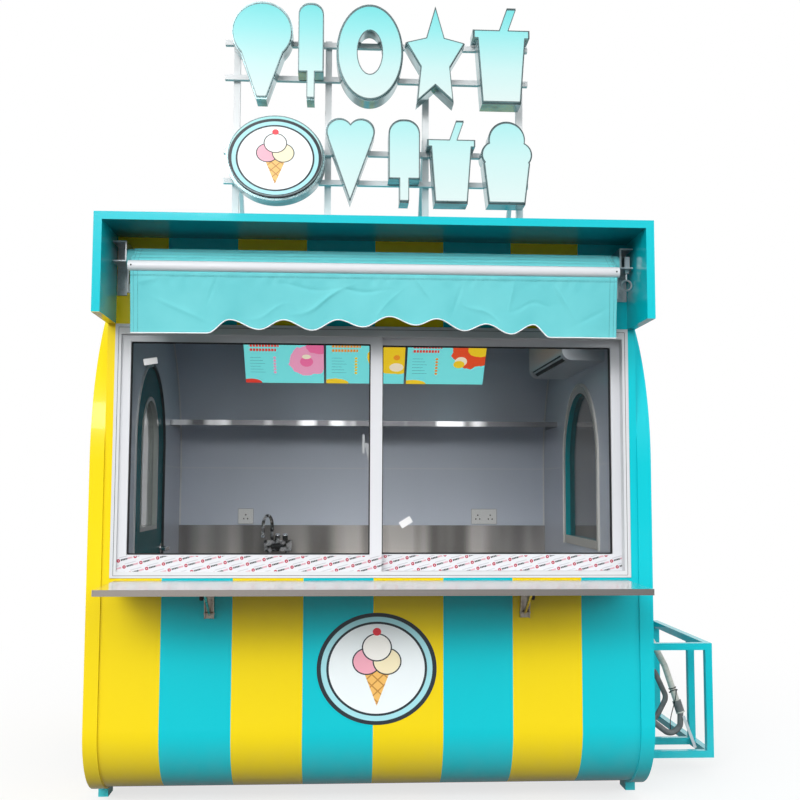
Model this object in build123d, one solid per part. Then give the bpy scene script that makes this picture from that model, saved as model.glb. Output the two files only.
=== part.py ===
from build123d import *
import math
import os

os.makedirs("parts", exist_ok=True)

# Street food kiosk: a loaf-shaped cabin with a flat service box and hood on its front.
# Units are millimetres. X runs along the counter, -Y is the serving side, +Z is up.

# ---------------------------------------------------------------- driving dimensions
body_length = 2200.0
body_depth = 2000.0
foot_height = 50.0
crown_height = 2238.0
roof_radius = 880.0
bottom_radius = 272.0
ring_width = 55.0
skin_inset = 8.0
wall = 50.0
end_wall = 45.0
end_wall_recess = 10.0
deck = 18.0

cheek = 31.0
hood_reach = 285.0
hood_plate = 30.0
hood_overlap = 60.0
hood_drop = 345.0

sill_height = 900.0
counter_height = 892.0
counter_length = 1980.0
counter_depth = 393.0
counter_lip = 22.5
sheet = 2.0

door_width = 755.0
door_spring = 1450.0
door_leaf = 40.0
door_gap = 8.0
door_swing_gap = 4.0

side_window_width = 707.0
side_window_low = 987.0
side_window_spring = 1384.0

sign_low = 2325.0
sign_lower_height = 325.0
sign_row_gap = 67.0
sign_upper_height = 383.0
sign_can = 80.0

# ---------------------------------------------------------------- derived planes
half_length = body_length / 2
half_inside = half_length - ring_width
front = -body_depth / 2
skin_front = front + skin_inset
inner_front = skin_front + wall
inner_inset = skin_inset + wall
arc_low = foot_height + bottom_radius
arc_high = crown_height - roof_radius
arc_end = body_depth / 2 - roof_radius
floor_edge = body_depth / 2 - bottom_radius
floor_top = foot_height + inner_inset
deck_top = floor_top + deck
hood_under = crown_height - skin_inset
hood_top = hood_under + hood_plate
window_head = hood_under - hood_drop
hood_front = skin_front - hood_reach
cheek_inside = half_inside - cheek
big = 2 * body_length


# ---------------------------------------------------------------- helpers
def block(x0, x1, y0, y1, z0, z1):
    """A box from its two corners."""
    return Pos((x0 + x1) / 2, (y0 + y1) / 2, (z0 + z1) / 2) * Box(x1 - x0, y1 - y0, z1 - z0)


def across(outline, x0, x1):
    """A side outline, drawn as (Y, Z), carried along X."""
    return Pos(x0, 0, 0) * extrude(Plane.YZ * outline, x1 - x0, dir=(1, 0, 0))


def forward(outline, y_back, y_front):
    """A front outline, drawn as (X, Z), carried towards the street."""
    return Pos(0, y_back, 0) * extrude(Plane.XZ * outline, y_back - y_front, dir=(0, -1, 0))


def rod_x(x0, x1, y, z, radius):
    """A round bar along X."""
    return Pos(x0, y, z) * extrude(Plane.YZ * Circle(radius), x1 - x0)


def rod_z(x, y, z0, z1, radius):
    """An upright round bar."""
    return Pos(x, y, z0) * extrude(Circle(radius), z1 - z0)


def body_outline(inset):
    """The loaf-shaped side outline, this far inside the rings' outer edge."""
    low = foot_height + inset
    high = crown_height - inset
    loaf = Pos(0, (low + high) / 2) * Rectangle(body_depth - 2 * inset, high - low)
    loaf = fillet(loaf.vertices().group_by(Axis.Y)[-1], roof_radius - inset)
    return fillet(loaf.vertices().group_by(Axis.Y)[0], bottom_radius - inset)


def arch(width, low, spring):
    """A round-headed opening centred on the body, from low to the spring line and over."""
    post = Pos(0, (low + spring) / 2) * Rectangle(width, spring - low)
    lower_half = Pos(0, spring - width / 2) * Rectangle(width, width)
    return post + (Pos(0, spring) * Circle(width / 2) - lower_half)


def both_sides(shape):
    """A shape and its mirror image across the kiosk's middle."""
    return Compound([shape, mirror(shape, Plane.YZ)])


def pipe(points, radii, radius):
    """A round bar along straight runs joined by tangent arcs."""
    path = FilletPolyline(*points, radius=radii)
    start = Plane(origin=path @ 0, z_dir=path % 0)
    return sweep(start * Circle(radius), path=path)


def straight_pipe(start, end, radius):
    """A round bar between two points."""
    path = Line(start, end)
    return sweep(Plane(origin=start, z_dir=path % 0) * Circle(radius), path=path)


nodes = {}


# ---------------------------------------------------------------- cabin shell
def make_shell():
    """Insulated skin round the cabin, cut into floor, walls and roof, and the end rings."""
    ring = body_outline(0) - body_outline(inner_inset)
    skin = across(body_outline(skin_inset) - body_outline(inner_inset), -half_inside, half_inside)
    nodes["floor_slab"] = skin & block(-big, big, -floor_edge, floor_edge, 0, arc_low)
    nodes["front_wall"] = skin & block(-big, big, -big, -floor_edge, 0, sill_height)
    nodes["back_wall"] = skin & block(-big, big, floor_edge, big, 0, arc_high)
    nodes["roof_shell"] = skin & block(-big, big, -arc_end, big, arc_high, big)
    nodes["left_end_ring"] = across(ring, -half_length, -half_inside)
    nodes["right_end_ring"] = across(ring, half_inside, half_length)
    room = across(body_outline(inner_inset), -half_inside, half_inside)
    nodes["floor_deck"] = room & block(-big, big, -big, big, floor_top, deck_top)


def make_service_box():
    """Flat-fronted box over the counter: cheeks, hood plate and the striped fascia."""
    inside = roof_radius - inner_inset
    side = Polygon(
        (inner_front, sill_height),
        (inner_front, arc_high),
        (-arc_end, arc_high),
        (-arc_end, hood_under),
        (hood_front, hood_under),
        (hood_front, window_head),
        (skin_front, window_head),
        (skin_front, sill_height),
        align=None,
    )
    side = side - Pos(-arc_end, arc_high) * Circle(inside)
    nodes["right_cheek"] = across(side, cheek_inside, half_inside)
    nodes["left_cheek"] = across(side, -half_inside, -cheek_inside)
    hood_back = hood_overlap - arc_end
    fascia_back = skin_front + cheek
    nodes["hood_roof"] = block(-half_inside, half_inside, hood_front, hood_back, hood_under, hood_top)
    fascia = block(-cheek_inside, cheek_inside, skin_front, fascia_back, window_head, hood_under)
    nodes["front_fascia"] = fascia


# ---------------------------------------------------------------- end walls and door
door_low = floor_top + door_gap
hinge_offset = 14.0
outer_left = -(half_length - end_wall_recess)
hinge_x = outer_left - hinge_offset
hinge_y = -door_width / 2 - door_swing_gap
knuckle = 8.0
hinge_heights = (420.0, 900.0, 1380.0)
handle_height = 940.0


def make_left_end():
    """Left end wall, split beside and over the arched doorway."""
    panel = body_outline(inner_inset)
    doorway = arch(door_width + 2 * door_gap, 0, door_spring)
    inner = outer_left + end_wall
    wall_slab = across(panel - doorway, outer_left, inner)
    nodes["left_wall_front"] = wall_slab & block(-big, big, -big, 0, 0, door_spring)
    nodes["left_wall_back"] = wall_slab & block(-big, big, 0, big, 0, door_spring)
    nodes["left_wall_over_door"] = wall_slab & block(-big, big, -big, big, door_spring, big)
    trim = arch(door_width + 2 * door_gap + 60, floor_top, door_spring)
    trim = trim - arch(door_width + 2 * door_gap, 0, door_spring)
    nodes["door_frame_trim"] = across(trim, outer_left - 5, outer_left)


def make_door():
    """Arched door leaf with its round-headed pane, glazing frame, handles and hinges."""
    glass_width = 430.0
    glass_low = 1042.0
    glass_spring = 1468.0
    rim = 20.0
    leaf_in = outer_left + door_leaf
    hole = arch(glass_width, glass_low, glass_spring)
    pane = arch(glass_width - 2 * rim, glass_low + rim, glass_spring)
    leaf = across(arch(door_width, door_low, door_spring) - hole, outer_left, leaf_in)
    nodes["door_leaf"] = leaf
    nodes["door_glazing_frame"] = across(hole - pane, outer_left - 4, leaf_in + 4)
    middle = (outer_left + leaf_in) / 2
    nodes["door_glass"] = across(pane, middle - 3, middle + 3)

    handle_y = door_width / 2 - 60
    lever_length = 115.0

    def lever(face, out):
        rose = Pos(face, handle_y, handle_height) * extrude(Plane.YZ * Circle(26), 8 * out)
        neck = Pos(face, handle_y, handle_height) * extrude(Plane.YZ * Circle(10), 50 * out)
        grip = fillet(Box(14, lever_length, 20).edges(), 5)
        grip = Pos(face + 44 * out, handle_y + 10 - lever_length / 2, handle_height) * grip
        return rose + neck + grip

    nodes["door_handles"] = Compound([lever(outer_left, -1), lever(leaf_in, 1)])

    fixed = []
    moving = []
    for height in hinge_heights:
        low = height - 50
        pin = rod_z(hinge_x, hinge_y, low, low + 100, 3.5)
        barrel_low = rod_z(hinge_x, hinge_y, low, low + 33, knuckle)
        barrel_high = rod_z(hinge_x, hinge_y, low + 67, low + 100, knuckle)
        wing_low = block(outer_left - 9, outer_left - 5, hinge_y - 40, hinge_y, low, low + 33)
        wing_high = block(outer_left - 9, outer_left - 5, hinge_y - 40, hinge_y, low + 67, low + 100)
        fixed.append(pin + barrel_low + barrel_high + wing_low + wing_high)
        barrel = rod_z(hinge_x, hinge_y, low + 34, low + 66, knuckle)
        wing = block(outer_left - 4, outer_left, hinge_y + 5, hinge_y + 44, low + 34, low + 66)
        reach = block(hinge_x + 2, outer_left, hinge_y + 5, hinge_y + 11, low + 34, low + 66)
        bore = rod_z(hinge_x, hinge_y, low, low + 100, 3.6)
        moving.append((barrel + wing + reach) - bore)
    nodes["door_hinge_fixed"] = Compound(fixed)
    nodes["door_hinge_moving"] = Compound(moving)


def make_right_end():
    """Right end wall with its fixed round-headed window."""
    outer = half_length - end_wall_recess
    inner = outer - end_wall
    hole = arch(side_window_width, side_window_low, side_window_spring)
    rim = 22.0
    pane = arch(side_window_width - 2 * rim, side_window_low + rim, side_window_spring)
    lip = arch(side_window_width + 40, side_window_low - 20, side_window_spring)
    nodes["right_end_wall"] = across(body_outline(inner_inset) - hole, inner, outer)
    frame = across(hole - pane, inner, outer)
    frame = frame + across(lip - pane, outer, outer + 5) + across(lip - pane, inner - 5, inner)
    nodes["side_window_frame"] = frame
    middle = (inner + outer) / 2
    nodes["side_window_glass"] = across(pane, middle - 3, middle + 3)


# ---------------------------------------------------------------- service window
frame_face = 24.0
frame_foot = 24.0
frame_head = 40.0
frame_depth = 90.0
sash_depth = 32.0
sash_stile = 36.0
meeting_stile = 47.0
meeting_line = 31.0
sash_rail = 64.0
sash_top = 28.0
pane_thickness = 5.0
track_gap = 3.0


def framed(x0, x1, z0, z1, left, right, low, high, y_front, y_back):
    """A rectangular frame with four bar widths."""
    outer = block(x0, x1, y_front, y_back, z0, z1)
    return outer - block(x0 + left, x1 - right, y_front - 1, y_back + 1, z0 + low, z1 - high)


def make_service_window():
    """White sliding window: outer frame, front and rear sash, and their panes."""
    y0 = skin_front - 6
    y1 = y0 + frame_depth
    frame = framed(-cheek_inside, cheek_inside, sill_height, window_head,
                   frame_face, frame_face, frame_foot, frame_head, y0, y1)
    nodes["window_frame"] = frame
    x_in = cheek_inside - frame_face
    z0 = sill_height + frame_foot
    z1 = window_head - frame_head
    split = meeting_line
    front_sash_y = y0 + 10
    rear_sash_y = front_sash_y + sash_depth + track_gap
    left = framed(-x_in, split, z0, z1, sash_stile, meeting_stile, sash_rail, sash_top,
                  front_sash_y, front_sash_y + sash_depth)
    right = framed(split - meeting_stile, x_in, z0, z1, meeting_stile, sash_stile, sash_rail, sash_top,
                   rear_sash_y, rear_sash_y + sash_depth)
    nodes["left_sash"] = left
    nodes["right_sash"] = right
    middle = sash_depth / 2 - pane_thickness / 2
    pane_left = block(-x_in + sash_stile, split - meeting_stile, front_sash_y + middle,
                      front_sash_y + middle + pane_thickness, z0 + sash_rail, z1 - sash_top)
    pane_right = block(split, x_in - sash_stile, rear_sash_y + middle,
                       rear_sash_y + middle + pane_thickness, z0 + sash_rail, z1 - sash_top)
    nodes["window_panes"] = Compound([pane_left, pane_right])
    latch_z = (z0 + z1) / 2 + 36
    latch_y = rear_sash_y + sash_depth
    plate = block(split - meeting_stile + 3, split - 14, latch_y, latch_y + 5, latch_z - 45, latch_z + 45)
    boss = block(split - meeting_stile + 5, split - 16, latch_y + 5, latch_y + 14, latch_z - 14, latch_z + 14)
    lever = Polygon(
        (-34, 40), (-24, 40), (-24, 8), (-10, 4), (2, 6), (2, -14), (-8, -30),
        (-2, -66), (-8, -72), (-16, -38), (-20, -12), (-24, -12), (-24, -36), (-34, -36),
        align=None,
    )
    lever = forward(Pos(split - meeting_stile + 4, latch_z) * lever, latch_y + 14, latch_y + 7)
    nodes["window_latch"] = plate + boss + lever


# ---------------------------------------------------------------- counter and its brackets
bracket_left = -630.0
bracket_right = 590.0
pivot_y = skin_front - 36
pivot_z = counter_height - sheet - 12
brace_set = 22.0
brace_drop = 112.0
brace_rise = 115.5
brace_reach = 192.0
arm_half = 11.0
arm_wall = 2.0
leg_half = 18.5
leg_wall = 2.5
pin_radius = 4.0
pin_gap = 0.5


def make_counter():
    """Folded stainless counter with its two channel arms."""
    y1 = skin_front - 2
    y0 = y1 - counter_depth
    half = counter_length / 2
    low = counter_height - counter_lip
    top = block(-half, half, y0, y1, counter_height - sheet, counter_height)
    lip = block(-half, half, y0, y0 + sheet, low, counter_height)
    ends = both_sides(block(half - sheet, half, y0, pivot_y - 20, low, counter_height))
    nodes["counter_top"] = top + lip + ends.solids()[0] + ends.solids()[1]

    def arm(x):
        z1 = counter_height - sheet
        z0 = pivot_z - 10
        y_end = y0 + 30
        body = block(x - arm_half, x + arm_half, y_end, pivot_y + 9, z0, z1)
        inside = arm_half - arm_wall
        hollow = block(x - inside, x + inside, y_end + arm_wall, pivot_y + 20, z0 - 1, z1 - arm_wall)
        bore = rod_x(x - 30, x + 30, pivot_y, pivot_z, pin_radius + pin_gap)
        return body - hollow - bore

    nodes["counter_arms"] = Compound([arm(bracket_left), arm(bracket_right)])


def make_brackets():
    """Wall legs of the folding brackets, and the swinging braces with their rollers."""
    foot_z = pivot_z - brace_drop
    foot_y = pivot_y + brace_set
    legs = []
    for x in (bracket_left, bracket_right):
        web = block(x - leg_half, x + leg_half, skin_front - 3, skin_front, foot_z - 20, pivot_z + 8)
        sides = []
        for side in (-1, 1):
            x_out = x + side * leg_half
            x_in = x + side * (leg_half - leg_wall)
            ear = Polygon(
                (skin_front, foot_z - 20),
                (skin_front, pivot_z + 8),
                (pivot_y - 8, pivot_z + 8),
                (pivot_y - 10, pivot_z - 14),
                (foot_y - 9, foot_z + 10),
                (foot_y - 9, foot_z - 20),
                align=None,
            )
            sides.append(across(ear, min(x_out, x_in), max(x_out, x_in)))
        pins = rod_x(x - leg_half, x + leg_half, pivot_y, pivot_z, pin_radius)
        pins = pins + rod_x(x - leg_half, x + leg_half, foot_y, foot_z, pin_radius)
        legs.append(web + sides[0] + sides[1] + pins)
    nodes["bracket_wall_legs"] = Compound(legs)

    length = math.hypot(brace_rise, brace_reach)
    tilt = math.degrees(math.atan2(brace_rise, brace_reach))

    def brace(x):
        bar = Pos(-length / 2, 0) * Rectangle(length, 12) + Circle(8) + Pos(-length, 0) * Circle(5.5)
        flat = across(bar, x - 4, x + 4) - rod_x(x - 10, x + 10, 0, 0, pin_radius + pin_gap)
        roller = rod_x(x - 7, x + 7, -length, 0, 6)
        return Pos(0, foot_y, foot_z) * Rot(-tilt, 0, 0) * (flat + roller)

    nodes["left_brace"] = brace(bracket_left)
    nodes["right_brace"] = brace(bracket_right)


# ---------------------------------------------------------------- awning in the hood
awning_side_gap = 59.0
awning_bracket_x = cheek_inside - awning_side_gap
bar_end_gap = 20.0
bar_half = awning_bracket_x - bar_end_gap
bar_y = skin_front - 180
bar_z = window_head + 194
bar_radius = 21.0
flap_setback = 6.0
roller_y = skin_front - 78
roller_z = hood_under - 108
roller_radius = 43.0
cloth_half = bar_half - 8
cloth_thickness = 3.0
valance_end_drop = 235.0
valance_crest_drop = 174.0
valance_flat_width = 280.0
valance_scallops = 6
bracket_flange = 52.0
bracket_plate = 5.0


def valance_outline():
    """The valance as (X, Z): straight ends, and scallops between them."""
    top = bar_z - math.sqrt(bar_radius**2 - flap_setback**2)
    low = bar_z - bar_radius - valance_end_drop
    crest = bar_z - bar_radius - valance_crest_drop
    inner = cloth_half - valance_flat_width
    lobe = 2 * inner / valance_scallops
    flap = Pos(0, (top + low) / 2) * Rectangle(2 * cloth_half, top - low)
    wave = Pos(0, crest - 20) * Rectangle(2 * inner, 40)
    flap = flap - Pos(0, low) * Rectangle(2 * inner, 2 * (crest - low))
    sag = lobe / 4
    for step in range(valance_scallops):
        middle = (step + 0.5) * lobe - inner
        scallop = Polygon(
            (middle - lobe / 2, crest),
            (middle - lobe / 4, crest - 0.8 * sag),
            (middle, crest - sag),
            (middle + lobe / 4, crest - 0.8 * sag),
            (middle + lobe / 2, crest),
            align=None,
        )
        flap = flap + (scallop & wave)
    return flap


def make_awning():
    """Wound-in awning: brackets, roll, folded arms, front bar, valance and winding eye."""
    nodes["awning_front_bar"] = rod_x(-bar_half, bar_half, bar_y, bar_z, bar_radius)
    nodes["awning_roll"] = rod_x(-awning_bracket_x, awning_bracket_x, roller_y, roller_z, roller_radius)

    x0 = awning_bracket_x
    x1 = x0 + bracket_plate
    x2 = x0 + bracket_flange
    bracket_front = roller_y - 45
    bracket_top = hood_under - 42
    plate = block(x0, x1, bracket_front, skin_front, hood_under - 122, bracket_top)
    flange_low = block(x0, x2, bracket_front, skin_front, hood_under - 122, hood_under - 117)
    flange_high = block(x0, x2, bracket_front, skin_front, bracket_top - 5, bracket_top)
    tab = block(x0 + 18, x2 + 5, skin_front - 5, skin_front, window_head + 112, bracket_top)
    nodes["awning_brackets"] = both_sides(plate + flange_low + flange_high + tab)

    arm_z = bar_z - bar_radius - 42
    upper_y = roller_y + 28
    fore_y = roller_y - 10
    elbow = 90.0
    wrist_out = bar_half - 30
    wrist_in = bar_half - 60
    upper = block(elbow, x0, upper_y - 9, upper_y + 9, arm_z - 18, arm_z + 18)
    hanger = block(x0, x1, upper_y - 20, upper_y + 20, arm_z - 18, hood_under - 122)
    knee = block(elbow - 34, elbow, fore_y - 9, upper_y + 9, arm_z - 18, arm_z + 18)
    fore = block(elbow, wrist_in, fore_y - 9, fore_y + 9, arm_z - 18, arm_z + 18)
    wrist_front = bar_y - flap_setback + 3
    wrist = block(wrist_in, wrist_out, wrist_front, fore_y + 9, arm_z - 18, arm_z + 18)
    saddle = block(wrist_in, wrist_out, wrist_front, bar_y + 12, arm_z + 18, bar_z - bar_radius)
    nodes["awning_arms"] = both_sides(upper + hanger + knee + fore + wrist + saddle)

    flap_back = bar_y - flap_setback
    nodes["awning_valance"] = forward(valance_outline(), flap_back, flap_back - cloth_thickness)
    run_y = roller_y - bar_y
    run_z = roller_z - bar_z
    slope = math.atan2(run_z, run_y) + math.asin((roller_radius - bar_radius) / math.hypot(run_y, run_z))
    out_y = -math.sin(slope)
    out_z = math.cos(slope)
    low_in = (bar_y + bar_radius * out_y, bar_z + bar_radius * out_z)
    high_in = (roller_y + roller_radius * out_y, roller_z + roller_radius * out_z)
    low_out = (low_in[0] + cloth_thickness * out_y, low_in[1] + cloth_thickness * out_z)
    high_out = (high_in[0] + cloth_thickness * out_y, high_in[1] + cloth_thickness * out_z)
    cover = Polygon(low_in, high_in, high_out, low_out, align=None)
    nodes["awning_cover"] = across(cover, -cloth_half, cloth_half)

    eye_x = x0 + 35
    eye_z = hood_under - 182
    eye_radius = 20.0
    eye_y = roller_y - 8
    gear = block(eye_x - 11, eye_x + 9, eye_y - 20, eye_y + 20, hood_under - 117, hood_under - 72)
    neck = block(eye_x - 8, eye_x + 8, eye_y - 12, eye_y + 12, hood_under - 136, hood_under - 122)
    stem = rod_z(eye_x, eye_y, eye_z + eye_radius, hood_under - 136, 5)
    ring = Pos(eye_x, eye_y, eye_z) * Rot(90, 0, 35) * Torus(eye_radius, 4)
    nodes["winding_eye"] = Compound([gear, neck + stem + ring])


# ---------------------------------------------------------------- cabin fittings
bench_height = 850.0
bench_depth = 500.0
splash_height = 184.0
sink_x = -480.0
sink_width = 450.0
shelf_height = 1608.0
shelf_depth = 394.0
board_width = 435.0
board_height = 297.0
board_pitch = 448.0
board_low = 1838.0
socket_plate = 86.0
socket_gap = 7.0
socket_height = bench_height + splash_height + socket_gap + socket_plate / 2
double_socket_x = 693.0
single_socket_x = -670.0
air_unit_depth = 190.0
air_unit_width = 830.0
air_unit_height = 250.0
air_unit_y = -80.0
air_unit_drop = 285.0


def make_fittings():
    """Bench with sink, tap, wall shelf, menu boards, sockets and the indoor air unit."""
    inner_back = -inner_front
    bench_low = bench_height - 30
    y0 = inner_back - bench_depth
    top = block(-half_inside, half_inside, y0, inner_back, bench_low, bench_height)
    splash_top = bench_height + splash_height
    splash = block(-half_inside, half_inside, inner_back - 12, inner_back, bench_height, splash_top)
    x0 = sink_x - sink_width / 2
    x1 = sink_x + sink_width / 2
    bowl_out = block(x0, x1, y0 + 60, y0 + 400, bench_height - 200, bench_height - 15)
    bowl_in = block(x0 + 3, x1 - 3, y0 + 63, y0 + 397, bench_height - 197, bench_height + 10)
    nodes["bench_top"] = (top + splash + bowl_out) - bowl_in
    legs = []
    for x in (-half_inside + 40, 0, half_inside - 40):
        for y in (y0 + 30, inner_back - 260):
            legs.append(block(x - 19, x + 19, y - 19, y + 19, deck_top, bench_low))
    nodes["bench_legs"] = Compound(legs)

    tap_y = inner_back - 75
    body_low = bench_height + 41
    body_high = body_low + 62
    body = block(sink_x - 78, sink_x + 78, tap_y - 24, tap_y + 24, body_low, body_high)
    tap = fillet(body.edges().filter_by(Axis.Z), 10)
    for x in (sink_x - 50, sink_x + 50):
        tap = tap + rod_z(x, tap_y, bench_height, body_low, 12)
    for x in (sink_x - 4, sink_x + 38):
        tap = tap + rod_z(x, tap_y, body_high, body_high + 26, 15)
    spout_x = sink_x - 36
    nozzle_x = spout_x - 42
    nozzle_y = tap_y - 110
    spout_top = body_high + 137
    spout = pipe(
        [(spout_x, tap_y, body_high), (spout_x, tap_y, spout_top),
         (nozzle_x, nozzle_y, spout_top), (nozzle_x, nozzle_y, body_high + 20)],
        [55, 55],
        9,
    )
    nodes["sink_tap"] = tap + spout

    rise = shelf_height - arc_high
    shelf_back = arc_end + math.sqrt((roof_radius - inner_inset) ** 2 - rise**2)
    shelf_front = inner_back - shelf_depth
    shelf_low = shelf_height - 28
    shelf = block(-half_inside, half_inside, shelf_front, shelf_back - 1, shelf_height - sheet, shelf_height)
    lip_back = shelf_front + sheet
    shelf = shelf + block(-half_inside, half_inside, shelf_front, lip_back, shelf_low, shelf_height)
    for x0, x1 in ((-half_inside, 3 - half_inside), (half_inside - 3, half_inside)):
        shelf = shelf + block(x0, x1, shelf_front, shelf_back - 30, shelf_low, shelf_height)
    nodes["wall_shelf"] = shelf

    inner_arc = roof_radius - inner_inset
    low_angle = math.asin((board_low - arc_high) / inner_arc)
    half_chord = math.asin(board_height / 2 / inner_arc)
    chord_y = arc_end + inner_arc * math.cos(half_chord) * math.cos(low_angle + half_chord)
    chord_z = arc_high + inner_arc * math.cos(half_chord) * math.sin(low_angle + half_chord)
    lean = math.degrees(low_angle + half_chord)
    boards = []
    for x in (-board_pitch, 0, board_pitch):
        board = Box(board_width, board_height, 6)
        boards.append(Pos(x, chord_y, chord_z) * Rot(90 + lean, 0, 0) * Pos(0, 0, 3.5) * board)
    nodes["menu_boards"] = Compound(boards)

    def socket(x, width):
        plate = Pos(x, inner_back - 5, socket_height) * Box(width, 10, socket_plate)
        return fillet(plate.edges().filter_by(Axis.Y), 4)

    nodes["wall_sockets"] = Compound([socket(double_socket_x, 146), socket(single_socket_x, socket_plate)])

    unit_z = hood_under - air_unit_drop
    unit = Box(air_unit_depth, air_unit_width, air_unit_height, align=(Align.MAX, Align.CENTER, Align.CENTER))
    unit = fillet(unit.edges().filter_by(Axis.Y).group_by(Axis.X)[0], 45)
    slot = Pos(-air_unit_depth, 0, -air_unit_height / 2) * Rot(0, 45, 0) * Box(40, air_unit_width - 110, 60)
    nodes["air_unit_indoor"] = Pos(half_inside, air_unit_y, unit_z) * (unit - slot)


# ---------------------------------------------------------------- feet and air-unit cage
cage_tube = 30.0
cage_out = half_length + 406.0
cage_front = -504.0
cage_back = 300.0
cage_low = 79.0
cage_high = 571.0
cage_mid = -251.0
foot_width = 40.0
foot_front = floor_edge - 31
foot_length = 90.0


def make_feet():
    """Four feet under the end rings, each a block running back from the kiosk's edge."""
    outer = half_length
    inner = half_length - foot_width
    back = foot_front - foot_length
    front_pair = both_sides(block(inner, outer, -foot_front, -back, 0, foot_height))
    rear_pair = both_sides(block(inner, outer, back, foot_front, 0, foot_height))
    nodes["feet"] = Compound(list(front_pair.solids()) + list(rear_pair.solids()))


def make_cage():
    """Welded tube cage for the outdoor air unit on the right end wall."""
    x0 = half_length
    x1 = cage_out
    t = cage_tube

    def rim(z0, z1):
        outer = block(x0, x1, cage_front, cage_back, z0, z1)
        return outer - block(x0 + t, x1 - t, cage_front + t, cage_back - t, z0 - 1, z1 + 1)

    cross = block(x0 + t, x1 - t, cage_mid - t / 2, cage_mid + t / 2, cage_low, cage_low + t)
    nodes["cage_base"] = rim(cage_low, cage_low + t) + cross
    nodes["cage_top"] = rim(cage_high - t, cage_high)
    posts = []
    z0 = cage_low + t
    z1 = cage_high - t
    for y in (cage_front, cage_back - t):
        posts.append(block(x1 - t, x1, y, y + t, z0, z1))
        plate = block(x0 - end_wall_recess, x0, y - 10, y + t + 10, z1 - 90, z1)
        posts.append(block(x0, x0 + t, y, y + t, z0, z1) + plate)
    posts.append(block(x1 - t, x1, cage_mid - t / 2, cage_mid + t / 2, z0, z1))
    nodes["cage_posts"] = Compound(posts)

    wall_face = half_length - end_wall_recess
    hose_top = (wall_face + 293, -378, 300)
    hose_mouth = (wall_face + 308, -384, 250)
    nodes["air_unit_pipes"] = pipe(
        [(wall_face, -330, 650), (wall_face + 150, -330, 650), (wall_face + 248, -360, 450), hose_top],
        [70, 90],
        14,
    )
    coupling = straight_pipe(hose_top, hose_mouth, 19)
    drain = pipe(
        [hose_mouth, (wall_face + 306, -385, 188), (wall_face + 260, -388, 150), (wall_face + 172, -392, 218)],
        [30, 40],
        13,
    )
    suction = pipe(
        [(wall_face, -290, 500), (wall_face + 130, -290, 500), (wall_face + 218, -310, 412),
         (wall_face + 262, -330, 305), (wall_face + 220, -335, 232), (wall_face + 168, -340, 180)],
        [40, 50, 40, 40],
        12,
    )
    liquid = pipe(
        [(wall_face, -250, 440), (wall_face + 90, -250, 440), (wall_face + 172, -262, 372),
         (wall_face + 196, -272, 290), (wall_face + 142, -282, 236), (wall_face + 60, -288, 218)],
        [40, 50, 40, 30],
        9,
    )
    nodes["air_unit_hoses"] = Compound([coupling + drain, suction, liquid])


# ---------------------------------------------------------------- roof sign
def cone_shape(w, h):
    """Ice-cream cone with one scoop, standing on its tip."""
    scoop = Pos(0, h - 0.5 * w) * Circle(0.5 * w)
    wafer = Polygon((-0.08 * w, 0), (0.08 * w, 0), (0.42 * w, 0.6 * h), (-0.42 * w, 0.6 * h), align=None)
    return scoop + wafer


def lolly_shape(w, h):
    """Ice lolly on a stick."""
    slab = Pos(0, 0.64 * h) * Rectangle(w, 0.72 * h)
    slab = fillet(slab.vertices().group_by(Axis.Y)[-1], 0.45 * w)
    return slab + Pos(0, 0.16 * h) * Rectangle(0.3 * w, 0.32 * h)


def cup_shape(w, h):
    """Lidded cup with a bent straw."""
    cup = Polygon((-0.34 * w, 0), (0.34 * w, 0), (0.43 * w, 0.7 * h), (-0.43 * w, 0.7 * h), align=None)
    lid = Pos(0, 0.73 * h) * Rectangle(w, 0.08 * h)
    straw = Polygon((-0.05 * w, 0.75 * h), (0.11 * w, 0.75 * h), (0.26 * w, h), (0.1 * w, h), align=None)
    return cup + lid + straw


def star_shape(w, h):
    """Five-pointed star."""
    reach_x = 0.526 * w
    reach_z = 0.5528 * h
    points = []
    for step in range(10):
        share = 1.0 if step % 2 == 0 else 0.5
        turn = math.radians(90 + 36 * step)
        points.append((share * reach_x * math.cos(turn), h - reach_z + share * reach_z * math.sin(turn)))
    return Polygon(*points, align=None)


def muffin_shape(w, h):
    """Muffin with a three-lobed top."""
    base = Polygon((-0.36 * w, 0), (0.36 * w, 0), (0.46 * w, 0.5 * h), (-0.46 * w, 0.5 * h), align=None)
    lobe = 0.26 * w
    lobes = Pos(lobe - 0.5 * w, 0.6 * h) * Circle(lobe) + Pos(0.5 * w - lobe, 0.6 * h) * Circle(lobe)
    return base + lobes + Pos(0, h - 0.36 * w) * Circle(0.36 * w)


def heart_shape(w, h):
    """Heart standing on its point."""
    lobe = 0.274 * w
    high = h - lobe
    side = Polygon((-0.475 * w, high - 0.13 * w), (0, 0), (0.475 * w, high - 0.13 * w), (0, high + 0.15 * w),
                   align=None)
    return side + Pos(lobe - 0.5 * w, high) * Circle(lobe) + Pos(0.5 * w - lobe, high) * Circle(lobe)


def ring_shape(w, h):
    """Tall ring, like a doughnut seen a little from the side."""
    return Pos(0, h / 2) * Ellipse(w / 2, h / 2) - Pos(0, h / 2) * Ellipse(0.2 * w, 0.24 * h)


def badge_shape(w, h):
    """Round badge."""
    return Pos(0, h / 2) * Ellipse(w / 2, h / 2)


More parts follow.
